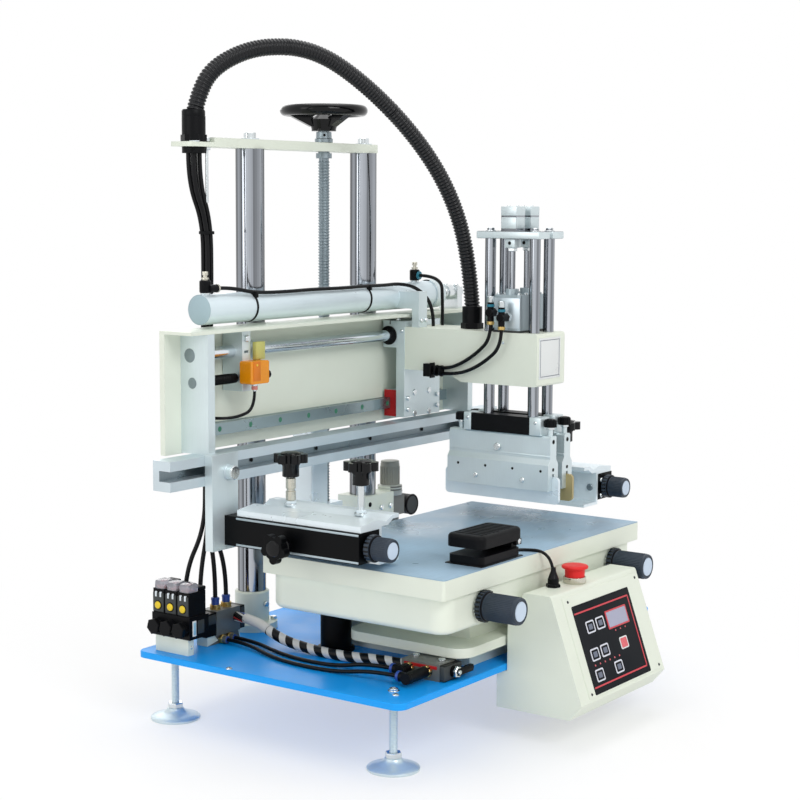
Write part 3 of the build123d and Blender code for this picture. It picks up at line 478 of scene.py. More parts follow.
# Front faces of the crossbar's slot take the darker ground steel as painted shade
paint("crossbar", aluminium, (steel, lambda p, n: p.y > BAR_SLOT_Y - 0.5 and n.y < -0.5))
paint("top_plate", cream,
      (black, lambda p, n: p.z > 740.1 and p.x < -211 and (p.xy - Vector(upper_gland)).length < 18
       or p.z < 733.9))
paint("end_plates", end_aluminium,
      (black, lambda p, n: hypot(p.y - SHOCK_Y, p.z - SHOCK_Z) < 7 and abs(p.x) < 282),
      (bright_steel, lambda p, n: hypot(p.y - SHOCK_Y, p.z - SHOCK_Z) < 10.5 and abs(p.x) < 282.4))
paint("proximity_sensor", orange, (pink, lambda p, n: p.z < 436.9))
paint("rail_carriage", red, (end_aluminium, lambda p, n: 138 < p.x < 197))
paint("print_arm", cream, (black, lambda p, n: p.z > 490.1 or p.x < 123.9))
paint("stroke_cylinder", tube_aluminium, (black, lambda p, n: p.z > 551.2),
      (end_aluminium, lambda p, n: p.z < 516 or p.y < 147))
paint("lift_cylinders", cast_aluminium, (black, lambda p, n: p.x < 124.9))
for name in ("squeegee", "flood_bar"):
    paint(f"{name}_holder", end_aluminium,
          (black, lambda p, n: p.z > 364.5 and not -86 < p.y < 40 or p.z > 352.2 and -66 < p.y < 28))
paint("table_top", cream, (table_metal, lambda p, n: n.z > 0.9 and p.z > table_high.z - 0.5))
paint("table_pedestal", cream,
      (black_metal, lambda p, n: p.y > 29 and p.z > 95 and hypot(abs(p.x) - POST_X, p.y - POST_Y) < 21))
paint("control_box", cream, (black, lambda p, n: p.z > 188.2 and p.x < -20),
      (yellow, lambda p, n: p.z > 188.2))
paint("valves", black, (grey, lambda p, n: -227 < p.x < -180 and p.z < 139.5),
      (brass, lambda p, n: p.z < 106.9 and p.y < 184.9 and p.x > -230), (cream, lambda p, n: p.z < 115.9),
      (brass, lambda p, n: 139.2 < p.z < 145 and p.x > -246), (bright_steel, lambda p, n: p.z > 176.2))
paint("regulator", grey, (cream, lambda p, n: p.x < 168.1), (knob_grey, lambda p, n: p.z > 249.9),
      (black, lambda p, n: p.x > 208))
paint("flow_block", grey, (black, lambda p, n: p.x < -200.2 or p.y < -146.1))

# Detail pieces are built in one mesh each, from turned, cut and pressed forms
AXES = {"x": Vector((1, 0, 0)), "y": Vector((0, 1, 0)), "z": Vector((0, 0, 1))}
CREASE = 35


def directions(axis):
    """Unit vector of an axis such as -y, or of any vector, and the two square to it."""
    if isinstance(axis, str):
        ahead = -AXES[axis[1]] if axis[0] == "-" else AXES[axis].copy()
    else:
        ahead = Vector(axis).normalized()
    side = ahead.orthogonal().normalized()
    return ahead, side, ahead.cross(side)


class Shape:
    """Mesh piece that gathers forms with their own finishes, then rides on a body."""

    def __init__(self, name, body, slot):
        self.name, self.body, self.slot = name, body, slot
        self.mesh = bmesh.new()
        self.finishes = []

    def add(self, form, material):
        """Take over a form, in millimetres, with one finish."""
        if material not in self.finishes:
            self.finishes.append(material)
        number = self.finishes.index(material)
        bmesh.ops.recalc_face_normals(form, faces=form.faces)
        for face in form.faces:
            face.material_index = number
            face.smooth = True
        carrier = bpy.data.meshes.new("carrier")
        form.to_mesh(carrier)
        form.free()
        self.mesh.from_mesh(carrier)
        bpy.data.meshes.remove(carrier)

    def lathe(self, start, axis, profile, material, sides=28, turn=0.0):
        """Turned form: pairs of distance along the axis and radius."""
        ahead, side, other = directions(axis)
        angles = [turn + 2 * pi * k / sides for k in range(sides)]
        form, rings = bmesh.new(), []
        for along, radius in profile:
            middle = Vector(start) + ahead * along
            spots = [middle + (side * cos(a) + other * sin(a)) * radius for a in angles]
            rings.append([form.verts.new(spot) for spot in (spots if radius > 0 else [middle])])
        for low, high in zip(rings, rings[1:]):
            for k in range(sides):
                a, b = low[k % len(low)], low[(k + 1) % len(low)]
                c, d = high[(k + 1) % len(high)], high[k % len(high)]
                loop = [v for n, v in enumerate((a, b, c, d)) if v not in (a, b, c, d)[:n]]
                if len(loop) > 2:
                    form.faces.new(loop)
        for ring in (rings[0], rings[-1]):
            if len(ring) > 2:
                form.faces.new(ring)
        self.add(form, material)

    def disc(self, place, axis, radius, height, top, material, sides):
        """Turned form with one radius at its foot and one at its top."""
        self.lathe(place, axis, [(0, radius), (height, top), (height, 0)], material, sides)

    def stud(self, place, axis, radius, straight, height, top, hole, material, sides):
        """Turned form: straight side, chamfer to the radius at the top, hole of a radius or none."""
        self.lathe(place, axis, [(0, radius), (straight, radius), (height, top), (height, hole)], material,
                   sides)

    def prism(self, outline, offset, length, material, bevel=0.0, steps=2):
        """Outline of points pushed along a vector of that length."""
        form = bmesh.new()
        push = directions(offset)[0] * length
        low = [form.verts.new(Vector(p)) for p in outline]
        high = [form.verts.new(Vector(p) + push) for p in outline]
        form.faces.new(low)
        form.faces.new(list(reversed(high)))
        for k in range(len(low)):
            m = (k + 1) % len(low)
            form.faces.new((low[m], low[k], high[k], high[m]))
        if bevel:
            bmesh.ops.bevel(form, geom=form.edges[:], offset=bevel, segments=steps, affect="EDGES",
                            profile=0.5)
        self.add(form, material)

    def block(self, low, high, material, bevel=0.4):
        """Box between two corners with eased edges."""
        (x0, y0, z0), (x1, y1, z1) = low, high
        self.prism([(x0, y0, z0), (x1, y0, z0), (x1, y1, z0), (x0, y1, z0)], "z", z1 - z0, material, bevel)

    def cap_screw(self, place, axis, radius, height, material=bright_steel):
        """Socket head screw: head with an eased rim and a hexagon recess, filled near its top with a
        near-black hexagon as painted shade.
        """
        self.stud(place, axis, radius, height - 0.8, height, radius - 0.7, radius * 0.6, material, 24)
        self.lathe(place, axis, [(height * 0.35, 0), (height * 0.35, radius * 0.56),
                                 (height - 0.02, radius * 0.56),
                                 (height - 0.02, radius * 0.62)], painted_hole_shade, 6)

    def washer(self, place, axis, radius, height, material=white):
        """Flat disc with an eased rim."""
        self.stud(place, axis, radius, height - 0.4, height, radius - 0.4, 0, material, 28)

    def nut(self, place, axis, radius, height, material=bright_steel):
        """Hexagon nut with turned chamfers."""
        self.lathe(place, axis, [(0, radius * 0.9), (height * 0.15, radius), (height * 0.85, radius),
                                 (height, radius * 0.9), (height, 0)], material, 6)

    def pan_screw(self, place, axis, radius):
        """Low round head with a cross recess drawn as near-black bars, painted shade."""
        self.lathe(place, axis, [(0, radius), (radius * 0.28, radius * 0.92), (radius * 0.48, radius * 0.6),
                                 (radius * 0.55, 0)], bright_steel, 20)
        ahead, side, other = directions(axis)
        base = Vector(place) + ahead * radius * 0.42
        for reach in (side, other):
            across = ahead.cross(reach) * radius * 0.1
            ends = [base + reach * radius * 0.5 + across, base + reach * radius * 0.5 - across,
                    base - reach * radius * 0.5 - across, base - reach * radius * 0.5 + across]
            self.prism(ends, ahead, radius * 0.15, painted_hole_shade)

    def cogs(self, place, axis, inner, outer, length, count, material):
        """Ring with straight teeth round its rim."""
        ahead, side, other = directions(axis)
        outline = []
        for k in range(count):
            for share, radius in ((0.0, inner), (0.5, inner), (0.55, outer), (0.95, outer)):
                angle = 2 * pi * (k + share) / count
                outline.append(Vector(place) + (side * cos(angle) + other * sin(angle)) * radius)
        self.prism(outline, ahead, length, material)

    def ridges(self, middle, ring, count, profile):
        """Fine ridges round a knob that faces the front, at a radius from its middle."""
        x, y, z = middle
        for number in range(count):
            angle = 2 * pi * number / count
            self.lathe((x + ring * cos(angle), y, z + ring * sin(angle)), "-y", profile, slate, 6)

    def done(self):
        """Finish the mesh and set it on its body."""
        bmesh.ops.scale(self.mesh, vec=(MM, MM, MM), verts=self.mesh.verts)
        data = bpy.data.meshes.new(self.name)
        self.mesh.to_mesh(data)
        self.mesh.free()
        for material in self.finishes:
            data.materials.append(material)
        data.set_sharp_from_angle(angle=radians(CREASE))
        obj = link(self.name, data, self.body)
        return obj


# Lead screw with its thread, for the plain bar of the CAD
SCREW_X, COLUMN_Y, COLUMN_X = 33, 212, 124
PITCH, THREAD_LOW, THREAD_HIGH = 4, 214, 725
thread = Shape("lead_screw_thread", "screw", "steel")
thread_profile = [(0, 6.8)]
for rise in range(0, THREAD_HIGH - THREAD_LOW - PITCH, PITCH):
    thread_profile += [(rise + 0.4, 6.9), (rise + 1.4, 7.95), (rise + 2.4, 7.95), (rise + 3.4, 6.9)]
thread_profile += [(z - THREAD_LOW, radius) for z, radius in (
    (THREAD_HIGH, 6.9), (THREAD_HIGH, 11), (731.9, 11), (731.9, 8), (746.1, 8), (746.1, 11.6),
    (746.7, 12.5), (751.5, 12.5), (752.1, 11.8), (752.1, 11), (761, 10.6), (761, 8), (772, 8), (772, 0))]
thread.lathe((SCREW_X, COLUMN_Y, THREAD_LOW), "z", thread_profile, steel, 24)
# Near-black disc for the hole in the collar: painted shade
thread.disc((SCREW_X - 8, COLUMN_Y - 7.2, 756.5), (-0.75, -0.66, 0), 1.9, 0.5, 1.9, painted_hole_shade, 12)
thread.stud((SCREW_X, COLUMN_Y, 784), "z", 9, 1.5, 2.6, 7.6, 0, black_gloss, 24)
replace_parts(thread.done(), "lead_screw")

# Screws over the columns, on the base plate and on the column sockets, the upper gland and guide rod's ends
tops = Shape("top_screws", "root", "polished_steel")
BASE_TOP, SOCKET_TOP, COLUMN_TOP, SOCKET_SCREW = 95, 105, 746, 20.5
GUIDE_X, GUIDE_Y = -216, 205
for sx in (-COLUMN_X, COLUMN_X):
    tops.washer((sx, COLUMN_Y, COLUMN_TOP), "z", 12.5, 1.6)
    tops.cap_screw((sx, COLUMN_Y, COLUMN_TOP + 1.6), "z", 8, 7.5)
    for dy in (-SOCKET_SCREW, SOCKET_SCREW):
        for dx in (-SOCKET_SCREW, SOCKET_SCREW):
            tops.cap_screw((sx + dx, COLUMN_Y + dy, SOCKET_TOP), "z", 4.2, 4.5)
    tops.cap_screw((sx, COLUMN_Y - 22.6, 130), "-y", 4.2, 4.5)
for sx, sy in ((-304, 96), (-276, -136), (0, -150), (276, -136), (300, 96)):
    tops.pan_screw((sx, sy, BASE_TOP), "z", 4)
tops.disc((-242, 202, 740), "z", 6.5, 1.2, 6.5, white, 20)
tops.cap_screw((GUIDE_X, GUIDE_Y, 741), "z", 4.6, 5)
tops.disc((GUIDE_X, GUIDE_Y, 734), "-z", 2, 70, 2, bright_steel, 14)
tops.lathe((-230.3, 214, 771), "z", [(0, 14.4), (2, 14.8), (7.5, 14.8), (9.5, 13.6), (9.5, 9)], black, 32)
tops.lathe((-214.5, 207.5, 624), "z", [(0, 9.3), (0.6, 9.9), (3.4, 9.9), (4, 9.3)], black, 28)
tops.nut((GUIDE_X, GUIDE_Y, 734), "-z", 5.4, 4)
tops.done()

# Screws and plugs along the head
head = Shape("head_screws", "head", "polished_steel")
SLOT_Z, BRACKET_Z, HOLE_Z, HOLE_STEP, END_PLATE_X = 336.5, 333, 380, 60, -295
# Near-black discs in the slot stand for its holes: painted shade
for sx in (-194, -60, 62, 188):
    head.disc((sx, BAR_SLOT_Y, SLOT_Z), "-y", 2.6, 0.4, 2.6, painted_hole_shade, 14)
for sx in (-271, 312):
    head.cap_screw((sx, 114.1, BRACKET_Z), "-y", 8.6, 1.6)
    head.washer((sx, 123, BRACKET_Z), "-y", 10.5, 1.6, aluminium)
for hole_no in range(-4, 5):
    head.disc((HOLE_STEP * hole_no, 165.9, HOLE_Z), "-y", 5.1, 0.3, 4.9, bright_steel, 20)
    head.disc((HOLE_STEP * hole_no, 165.8, HOLE_Z - 0.3), "-y", 4.3, 0.6, 4.1, green, 18)
head.lathe((-270.2, 172.5, HOLE_Z), "-x", [(0, 7), (1.2, 6.6), (1.2, 0)], black, 4, pi / 4)
head.lathe((END_PLATE_X, 161, 443), "-x", [(0, 7), (0.5, 6.5), (0.1, 6.2), (0.1, 0)], steel, 24)
head.lathe((END_PLATE_X, 165, 477), "-x", [(0, 8.8), (0.5, 8.2), (0.2, 7.8), (0.4, 0)], steel, 28)
head.cap_screw((-211, 146, 494), "-y", 4.4, 4.5)
head.done()

# Threads, nuts and tips of the shock absorbers
shocks = Shape("shock_threads", "head", "black_plastic")
RIDGE_PITCH, RIDGES = 1.6, 26
shock_thread = [(6, 6)]
for ridge in range(RIDGES):
    shock_thread += [(6.2 + ridge * RIDGE_PITCH, 6.0), (7.0 + ridge * RIDGE_PITCH, 6.5)]
shock_thread += [(60.4, 6.1), (61, 5.4), (61, 0)]
for foot_x, way, step in ((-282.5, "x", 1), (282.5, "-x", -1)):
    shocks.lathe((foot_x, SHOCK_Y, SHOCK_Z), way, shock_thread, black_metal, 24)
    shocks.nut((foot_x + step * 7.5, SHOCK_Y, SHOCK_Z), way, 9, 5.5)
    shocks.stud((foot_x + step * 60, SHOCK_Y, SHOCK_Z), way, 3.6, 3.4, 4.2, 3, 0, black, 18)
shocks.done()

# Proximity sensor: spacer, face with a yellow dot, side knob and the sleeve of its lead
sensor = Shape("sensor_parts", "head", "orange_plastic")
sensor.block((-199, 139, 466.2), (-181, 145.8, 489), straw, 1.2)
# Sensor's front face in the darker orange: painted shade
sensor.block((-218, 127.4, 441), (-204, 128.2, 466), painted_shade_orange, 0.3)
sensor.disc((-211, 127.6, 461), "-y", 1.5, 0.6, 1.3, yellow, 14)
sensor.lathe((-187, 137, 447), "x", [(0, 3.4), (2, 3.4), (2, 5.2), (9, 5.2), (10, 4.2), (10, 0)], black, 20)
sensor.lathe((-205, 137, 437), "-z", [(0, 4.4), (3, 4.4), (4, 3.2), (10, 2.6), (10, 0)], bright_steel, 20)
sensor.done()

# Carriage: plate screws, bearing bore ring, the split line of its clamp and the clamp's screws
carriage = Shape("carriage_screws", "carriage", "polished_steel")
CARRIAGE_FRONT, CLAMP_TOP, ARM_SIDE = 138, 498, 123
for sx in (149, 185):
    for sz in (365, 395):
        carriage.cap_screw((sx, CARRIAGE_FRONT, sz), "-y", 4.6, 1.2)
for sx in (131, 204):
    for sz in (372, 388):
        carriage.cap_screw((sx, CARRIAGE_FRONT, sz), "-y", 3.4, 3.6)
carriage.stud((ARM_SIDE, 165, 477), "-x", 13.5, 1.6, 2, 12.8, 8.6, black, 32)
# Near-black strip for the split of the clamp: painted shade in the slit
carriage.block((122.6, 162, 493), (183, 163.4, 498.2), painted_hole_shade, 0)
for sx in (134, 172):
    carriage.cap_screw((sx, 157, CLAMP_TOP), "z", 3.6, 3.4)
carriage.cap_screw((ARM_SIDE, 143, 484), "-x", 2.6, 1.6)

# Plain label plate on the arm's end, with its rim and rivets
PLATE_X, PLATE_Z, PLATE_SIZE, PLATE_Y, RIVET_IN = 129, 428, 56, -80.7, 2.6
carriage.block((PLATE_X, PLATE_Y, PLATE_Z), (PLATE_X + PLATE_SIZE, PLATE_Y + 0.8, PLATE_Z + PLATE_SIZE),
               plate_face, 0.3)
for x0, z0, x1, z1 in ((3, 3, 53, 3.8), (3, 52.2, 53, 53), (3, 3, 3.8, 53), (52.2, 3, 53, 53)):
    carriage.block((PLATE_X + x0, PLATE_Y - 0.25, PLATE_Z + z0),
                   (PLATE_X + x1, PLATE_Y + 0.1, PLATE_Z + z1), legend, 0)
for rx in (RIVET_IN, PLATE_SIZE - RIVET_IN):
    for rz in (RIVET_IN, PLATE_SIZE - RIVET_IN):
        carriage.lathe((PLATE_X + rx, PLATE_Y, PLATE_Z + rz), "-y", [(0, 1.3), (0.5, 1.0), (0.6, 0)],
                       bright_steel, 12)
carriage.cap_screw((124, -26, 476), "-x", 2.2, 0.7, aluminium)
carriage.done()

# Hose clip on the arm: saddle, ties and their tails
clip = Shape("hose_clip", "carriage", "black_plastic")
clip.block((113.6, 86, 421.4), (125, 88.2, 442.6), black, 0.5)
for ty in (70, 78):
    clip.lathe((119, ty, 432), "y", [(0, 7.4), (0.4, 7.9), (2.2, 7.9), (2.6, 7.4)], black, 20)
clip.block((111, 69, 436), (114.5, 73, 440), black, 0.4)
clip.done()

# Stroke cylinder: end disc, ties, port fittings with their sleeves, hose collars, front cap and screws
tube = Shape("stroke_cylinder_trim", "carriage", "aluminium")
TUBE_Y, TUBE_Z, TUBE_R, TIE_R = 168, 532, 19, 19.9
tube.lathe((-273, TUBE_Y, TUBE_Z), "-x", [(0, TUBE_R - 0.3), (0.3, TUBE_R - 1.4), (0.3, 0)], tube_disc, 40)
for tie_x in (-185, 58):
    tube.lathe((tie_x, TUBE_Y, TUBE_Z), "x", [(0, 19.1), (0.2, TIE_R), (3, TIE_R), (3.2, 19.1)], black, 40)
    tube.block((tie_x - 1, 150, 544), (tie_x + 4.4, 155.4, 551.6), black, 0.6)
for px in (-262, 190):
    tube.lathe((px, TUBE_Y, 550.4), "z", [(0, 6), (1.4, 6.4), (2.2, 6.4), (2.6, 5.2)], bright_steel, 24)
    tube.lathe((px, TUBE_Y, 552.6), "z", [(0, 6.4), (1.4, 7.3), (14.4, 7.3), (15.8, 6), (15.8, 0)], black,
               24)
    tube.lathe((px, TUBE_Y, 568), "z", [(0, 3.6), (1.6, 3.6), (1.6, 4.8), (3.8, 4.8), (3.8, 2.6),
                                        (6.6, 2.6), (6.6, 3.8), (10.6, 3.8), (11.2, 3.2), (11.2, 0)],
               nickel, 18)
tube.stud((-248, 162, 558), "x", 5.4, 2.2, 2.6, 4.4, 2.6, nickel, 20)
tube.stud((190, 161, 560), "-y", 6, 2.2, 2.6, 5, 2.6, teal, 20)
tube.lathe((221, TUBE_Y, TUBE_Z), "x", [(0, 19.4), (0.5, 20.9), (20.4, 20.9), (21.2, 20.2), (21.2, 8)],
           end_aluminium, 44)
tube.stud((242.1, TUBE_Y, TUBE_Z), "x", 12, 3.6, 4.4, 11, 6.2, aluminium, 28)
for sx in (131.5, 142.5):
    tube.cap_screw((sx, 116, 500), "-y", 3.2, 3.4)
tube.done()

rod_end = Shape("rod_end_joint", "head", "polished_steel")
rod_end.nut((252, TUBE_Y, TUBE_Z), "x", 10.5, 8)
rod_end.lathe((260.2, TUBE_Y, TUBE_Z), "x", [(0, 8.4), (1, 9.4), (5.6, 9.4), (6.4, 8.6)], bright_steel, 28)
rod_end.nut((295, TUBE_Y, TUBE_Z), "x", 10.5, 7)
rod_end.stud((302, TUBE_Y, TUBE_Z), "x", 6, 7, 8, 5, 0, bright_steel, 20)
for sy in (162, 181):
    rod_end.cap_screw((288.7, sy, 540), "z", 3.8, 4)
rod_end.done()

# Lift cylinders: grooved bodies, screws, speed controls and their silver knobs
lifts = Shape("lift_cylinder_trim", "carriage", "aluminium")
LIFT_X, LIFT_Y, ARM_TOP = (139, 176), -30.5, 490
# Grooves of the cylinder at x 139 keep the aluminium; those of the one at x 176 are near-black, painted
# shade
for lx, groove_finish_or_shade in zip(LIFT_X, (aluminium, painted_hole_shade)):
    for groove in (-13, 13):
        lifts.block((lx + groove - 1.6, LIFT_Y - 21.3, ARM_TOP + 6),
                    (lx + groove + 1.6, LIFT_Y + 21.3, ARM_TOP + 47), groove_finish_or_shade, 0.4)
    for sy in (LIFT_Y - 16.5, LIFT_Y + 16.5):
        for sx in (lx - 9, lx + 9):
            lifts.cap_screw((sx, sy, ARM_TOP + 51), "z", 2.6, 2.6)
    lifts.block((lx - 14.6, LIFT_Y - 21.6, ARM_TOP), (lx + 14.6, LIFT_Y + 21.6, ARM_TOP + 3), charcoal, 0.6)
for fx, fy, fz in LIFT_PORTS:
    lifts.lathe((fx, fy, fz + 28), "z", [(0, 4.6), (1, 4.9), (8, 4.9), (8.6, 4.2), (8.6, 0)], bright_steel,
                18)
    lifts.stud((fx, fy, fz + 22), "z", 5.4, 3, 3.4, 4.8, 4, teal, 20)
    lifts.stud((fx, fy, fz + 2), "-z", 5.2, 4, 4.6, 4.4, 2.6, brass, 20)
    lifts.lathe((121.5, fy, fz + 14), "x", [(0, 6.6), (3.2, 6.6), (3.2, 5)], bright_steel, 6)
    lifts.stud((fx - 1, fy, fz + 14), "-x", 5.7, 3.4, 4.2, 5, 0, black, 20)
lifts.done()

# Yokes over the lift cylinders, with their nuts and screws
for name, lx in (("flood_bar", LIFT_X[0]), ("squeegee", LIFT_X[1])):
    yoke = Shape(f"{name}_yoke_trim", name, "chrome")
    yoke.block((lx - 14.3, -80.3, 617.3), (lx + 14.3, 19.3, 626.7), end_aluminium, 0.8)
    for ly in (5, -66):
        yoke.washer((lx, ly, 627), "z", 7, 1.2, bright_steel)
        yoke.cap_screw((lx, ly, 628.2), "z", 5, 3.6)
    yoke.block((lx - 11.4, LIFT_Y - 12.4, 648), (lx + 11.4, LIFT_Y + 12.4, 660.4), end_aluminium, 0.6)
    yoke.block((lx - 11.4, LIFT_Y - 12.4, 630), (lx + 11.4, LIFT_Y + 12.4, 646.6), end_aluminium, 1.6)
    for ly in (LIFT_Y - 7, LIFT_Y + 7):
        yoke.cap_screw((lx, ly, 660), "z", 2.2, 2.4)
    yoke.block((lx - 8.3, LIFT_Y - 8.3, 604.6), (lx + 8.3, LIFT_Y + 8.3, 617), end_aluminium, 0.8)
    # Near-black disc for a hole in the block's side: painted shade
    yoke.disc((lx - 8.3, LIFT_Y, 611), "-x", 2.4, 0.3, 2.4, painted_hole_shade, 16)
    yoke.nut((lx, LIFT_Y, 600), "z", 6.4, 4.6)
    yoke.done()

    # Holder: clamp bar screws and holes, thumb knobs, end blocks of the bridge
    grip = Shape(f"{name}_holder_trim", name, "aluminium")
    grip.cap_screw((lx - 8, -15, 332), "-x", 5.4, 3.6)
    grip.block((lx - 8.6, -98.8, 323), (lx - 7.6, 64.8, 325.4), end_aluminium, 0.3)
    # Near-black discs for the clamp bar's holes: painted shade
    for hy in (47, 2, -42, -87):
        grip.disc((lx - 13, hy, 304.5), "-x", 1.9, 0.25, 1.9, painted_hole_shade, 14)
    for hy in (18, -58):
        grip.cap_screw((lx - 13, hy, 290), "-x", 3.6, 1.6)
    # Near-black discs for the holes in the holder's end: painted shade
    grip.disc((lx, -99, 344), "-y", 3, 0.3, 3, painted_hole_shade, 18)
    grip.disc((lx, -99, 306), "-y", 2.4, 0.3, 2.4, painted_hole_shade, 18)
    for ky in (50, -94):
        grip.lathe((lx, ky, 352), "z", [(0, 3.2), (9, 3.2), (9, 5.4), (12, 5.4), (12, 4)], bright_steel, 20)
        grip.cogs((lx, ky, 364), "z", 7.4, 8.6, 9, 12, black)
        grip.lathe((lx, ky, 373), "z", [(0, 7.4), (1.6, 6.6), (2.2, 4), (2.2, 0)], black, 24)
    for end_y in (33.3, -76.2):
        half = 5.9 if end_y > 0 else 9
        grip.block((lx - 11.5, end_y - half, 352), (lx + 11.5, end_y + half, 376.5), end_aluminium, 0.5)
        grip.cap_screw((lx - 11.5, end_y, 369), "-x", 2.6, 0.8)
    grip.done()

# Frame arms: bracket screws, graduated knobs with plain ends, lock knob hubs and clamp washers
ARM_FRONT, ARM_TOP_Z, ARM_WIDTH, ARM_DIAL_Z, CLAMP_Z = -85, 280, 40, 261, 261
LOCK_Y, LOCK_Z, CLAMP_OUT = 26, 253, 61
for side, rail_x, inward in (("left", -280, 1), ("right", 289, -1)):
    outer = rail_x if inward > 0 else rail_x + ARM_WIDTH
    outward, clamp_x = (-inward, 0, 0), outer + CLAMP_OUT * inward
    arm = Shape(f"{side}_arm_trim", "head", "black_anodised")
    for screw_z in (271, 249):
        arm.cap_screw((outer + 33 * inward, ARM_FRONT, screw_z), "-y", 3.4, 3)
    arm.lathe((outer, LOCK_Y, LOCK_Z), outward, [(0, 9.6), (5, 9.6), (6, 8.6), (12, 8.6)], black_gloss, 28)
    arm.lathe((outer - 24 * inward, LOCK_Y, LOCK_Z), outward, [(0, 10.5), (1.6, 9), (2.2, 6), (2.2, 0)],
              black_gloss, 28)
    strip = sorted((outer - 0.6 * inward, outer + 2 * inward))
    for strip_z in (244, ARM_TOP_Z - 3.4):
        arm.block((strip[0], ARM_FRONT + 0.6, strip_z), (strip[1], 104, strip_z + 2.6), cast_aluminium, 0.4)
    arm.done()

    washers = Shape(f"{side}_clamp_trim", f"{side}_clamp", "aluminium")
    for ky in (67, -42):
        washers.stud((clamp_x, ky, 289.6), "z", 8, 2.6, 3, 7.6, 4.3, bright_steel, 24)
        washers.nut((clamp_x, ky, 292.6), "z", 6.6, 3.6, clamp_aluminium)
    for sy in (-75, 92):
        washers.cap_screw((outer + 45 * inward, sy, CLAMP_Z), (inward, 0, 0), 5, 2.2, steel)
    washers.done()

    for place, ky in (("back", 67), ("front", -42)):
        knob = Shape(f"{side}_{place}_knob_trim", f"{side}_{place}_screw", "black_plastic")
        knob.lathe((clamp_x, ky, 354.9), "z", [(0, 13), (1.2, 12.4), (2.4, 9.4), (3, 5), (3, 0)],
                   black_gloss, 28)
        knob.lathe((clamp_x, ky, 326), "z", [(0, 9), (0.8, 10.6), (14, 10.6), (17, 12.5), (18.4, 12.5)],
                   black_gloss, 28)
        if place == "back":
            knob.lathe((clamp_x, ky, 296), "z", [(0, 4.6), (1, 6.4), (12, 6.4), (12.6, 5.2), (15, 5.2),
                                                 (15.6, 6.4), (28, 6.4), (29, 5.4), (29, 4)], nickel, 10)
        knob.done()

    dial = Shape(f"{side}_dial_trim", f"{side}_dial", "black_plastic")
    middle, face = rail_x + ARM_WIDTH / 2, ARM_FRONT - 0.3
    dial.cogs((middle, face - 3.2, ARM_DIAL_Z), "-y", 14.8, 16.6, 6.6, 20, black_gloss)
    dial.lathe((middle, face - 10, ARM_DIAL_Z), "-y", [(0, 15.2), (0.8, 15.6), (1.6, 14.4)], black, 36)
    dial.ridges((middle, face - 13, ARM_DIAL_Z), 13.8, 40, [(0, 0.5), (0.4, 0.75), (18, 0.75), (18.6, 0.4)])
    dial.lathe((middle, face - 33, ARM_DIAL_Z), "-y", [(0, 14), (1, 13.6), (1.4, 12.4), (0.8, 12),
                                                       (0.8, 0)], slate, 40)
    dial.disc((middle, face - 33.6, ARM_DIAL_Z), "-y", 10.4, 0.9, 10, dial_face, 40)
    dial.done()

# Table: knob rings, plain ends, cream flanges and the sheet's edge
TABLE_FRONT, TABLE_KNOB_X, TABLE_KNOB_Z = -177.8, 160, 186
for side, kx in (("left", -TABLE_KNOB_X), ("right", TABLE_KNOB_X)):
    dial = Shape(f"{side}_table_dial_trim", f"{side}_table_dial", "black_plastic")
    dial.cogs((kx, TABLE_FRONT - 3.2, TABLE_KNOB_Z), "-y", 17.4, 19.6, 6.6, 22, black_gloss)
    dial.cogs((kx, TABLE_FRONT - 1.2, TABLE_KNOB_Z), "-y", 16.6, 18.4, 2, 22, bright_steel)
    dial.lathe((kx, TABLE_FRONT - 10, TABLE_KNOB_Z), "-y", [(0, 17.8), (0.8, 18.2), (1.8, 16.8)], black, 40)
    dial.ridges((kx, TABLE_FRONT - 14, TABLE_KNOB_Z), 16.3, 48,
                [(0, 0.5), (0.4, 0.8), (38, 0.8), (38.6, 0.4)])
    dial.lathe((kx, TABLE_FRONT - 55, TABLE_KNOB_Z), "-y",
               [(0, 16.5), (1, 16.1), (1.6, 14.6), (0.9, 14.2), (0.9, 0)], slate, 44)
    dial.disc((kx, TABLE_FRONT - 55.7, TABLE_KNOB_Z), "-y", 12.2, 1, 11.8, dial_face, 44)
    dial.done()
table_trim = Shape("table_trim", "table", "cream_paint")
for kx in (-TABLE_KNOB_X, TABLE_KNOB_X):
    table_trim.lathe((kx, -177.5, TABLE_KNOB_Z), "y", [(0.1, 22), (1.4, 23), (6, 23), (6, 0)], cream, 40)
SHEET_IN = 1.2
table_trim.block((table_low.x + SHEET_IN, table_low.y + SHEET_IN, table_high.z - 0.2),
                 (table_high.x - SHEET_IN, table_high.y - SHEET_IN, table_high.z + 0.6), table_metal, 0.25)
table_trim.done()

# Pedestal posts: bright tops
posts = Shape("post_tops", "root", "polished_steel")
for px in (-POST_X, POST_X):
    posts.lathe((px, POST_Y, 150), "z", [(0, 20.3), (0.4, 20.6), (9.6, 20.6), (10, 20.2)], bright_steel, 32)
    posts.lathe((px, POST_Y, BASE_TOP), "z", [(0, 24), (4, 24), (5, 20.2)], black_metal, 32)
posts.done()

# Control box: panel plate with its film, window, button outlines and lights on the sloping front
SLOPE_TOP = Vector((0, -227, 188))
SLOPE_DOWN, SLOPE_OUT = Vector((0, -46, -130)).normalized(), Vector((0, -130, 46)).normalized()
STOP_X, STOP_Y, BOX_TOP = 10, -209, 188
panel = Shape("control_panel", "root", "cream_paint")


def on_slope(x, down, out):
    """Point of the control box's sloping front: across, down from its top edge, and out of it."""
    return SLOPE_TOP + Vector((x, 0, 0)) + SLOPE_DOWN * down + SLOPE_OUT * out


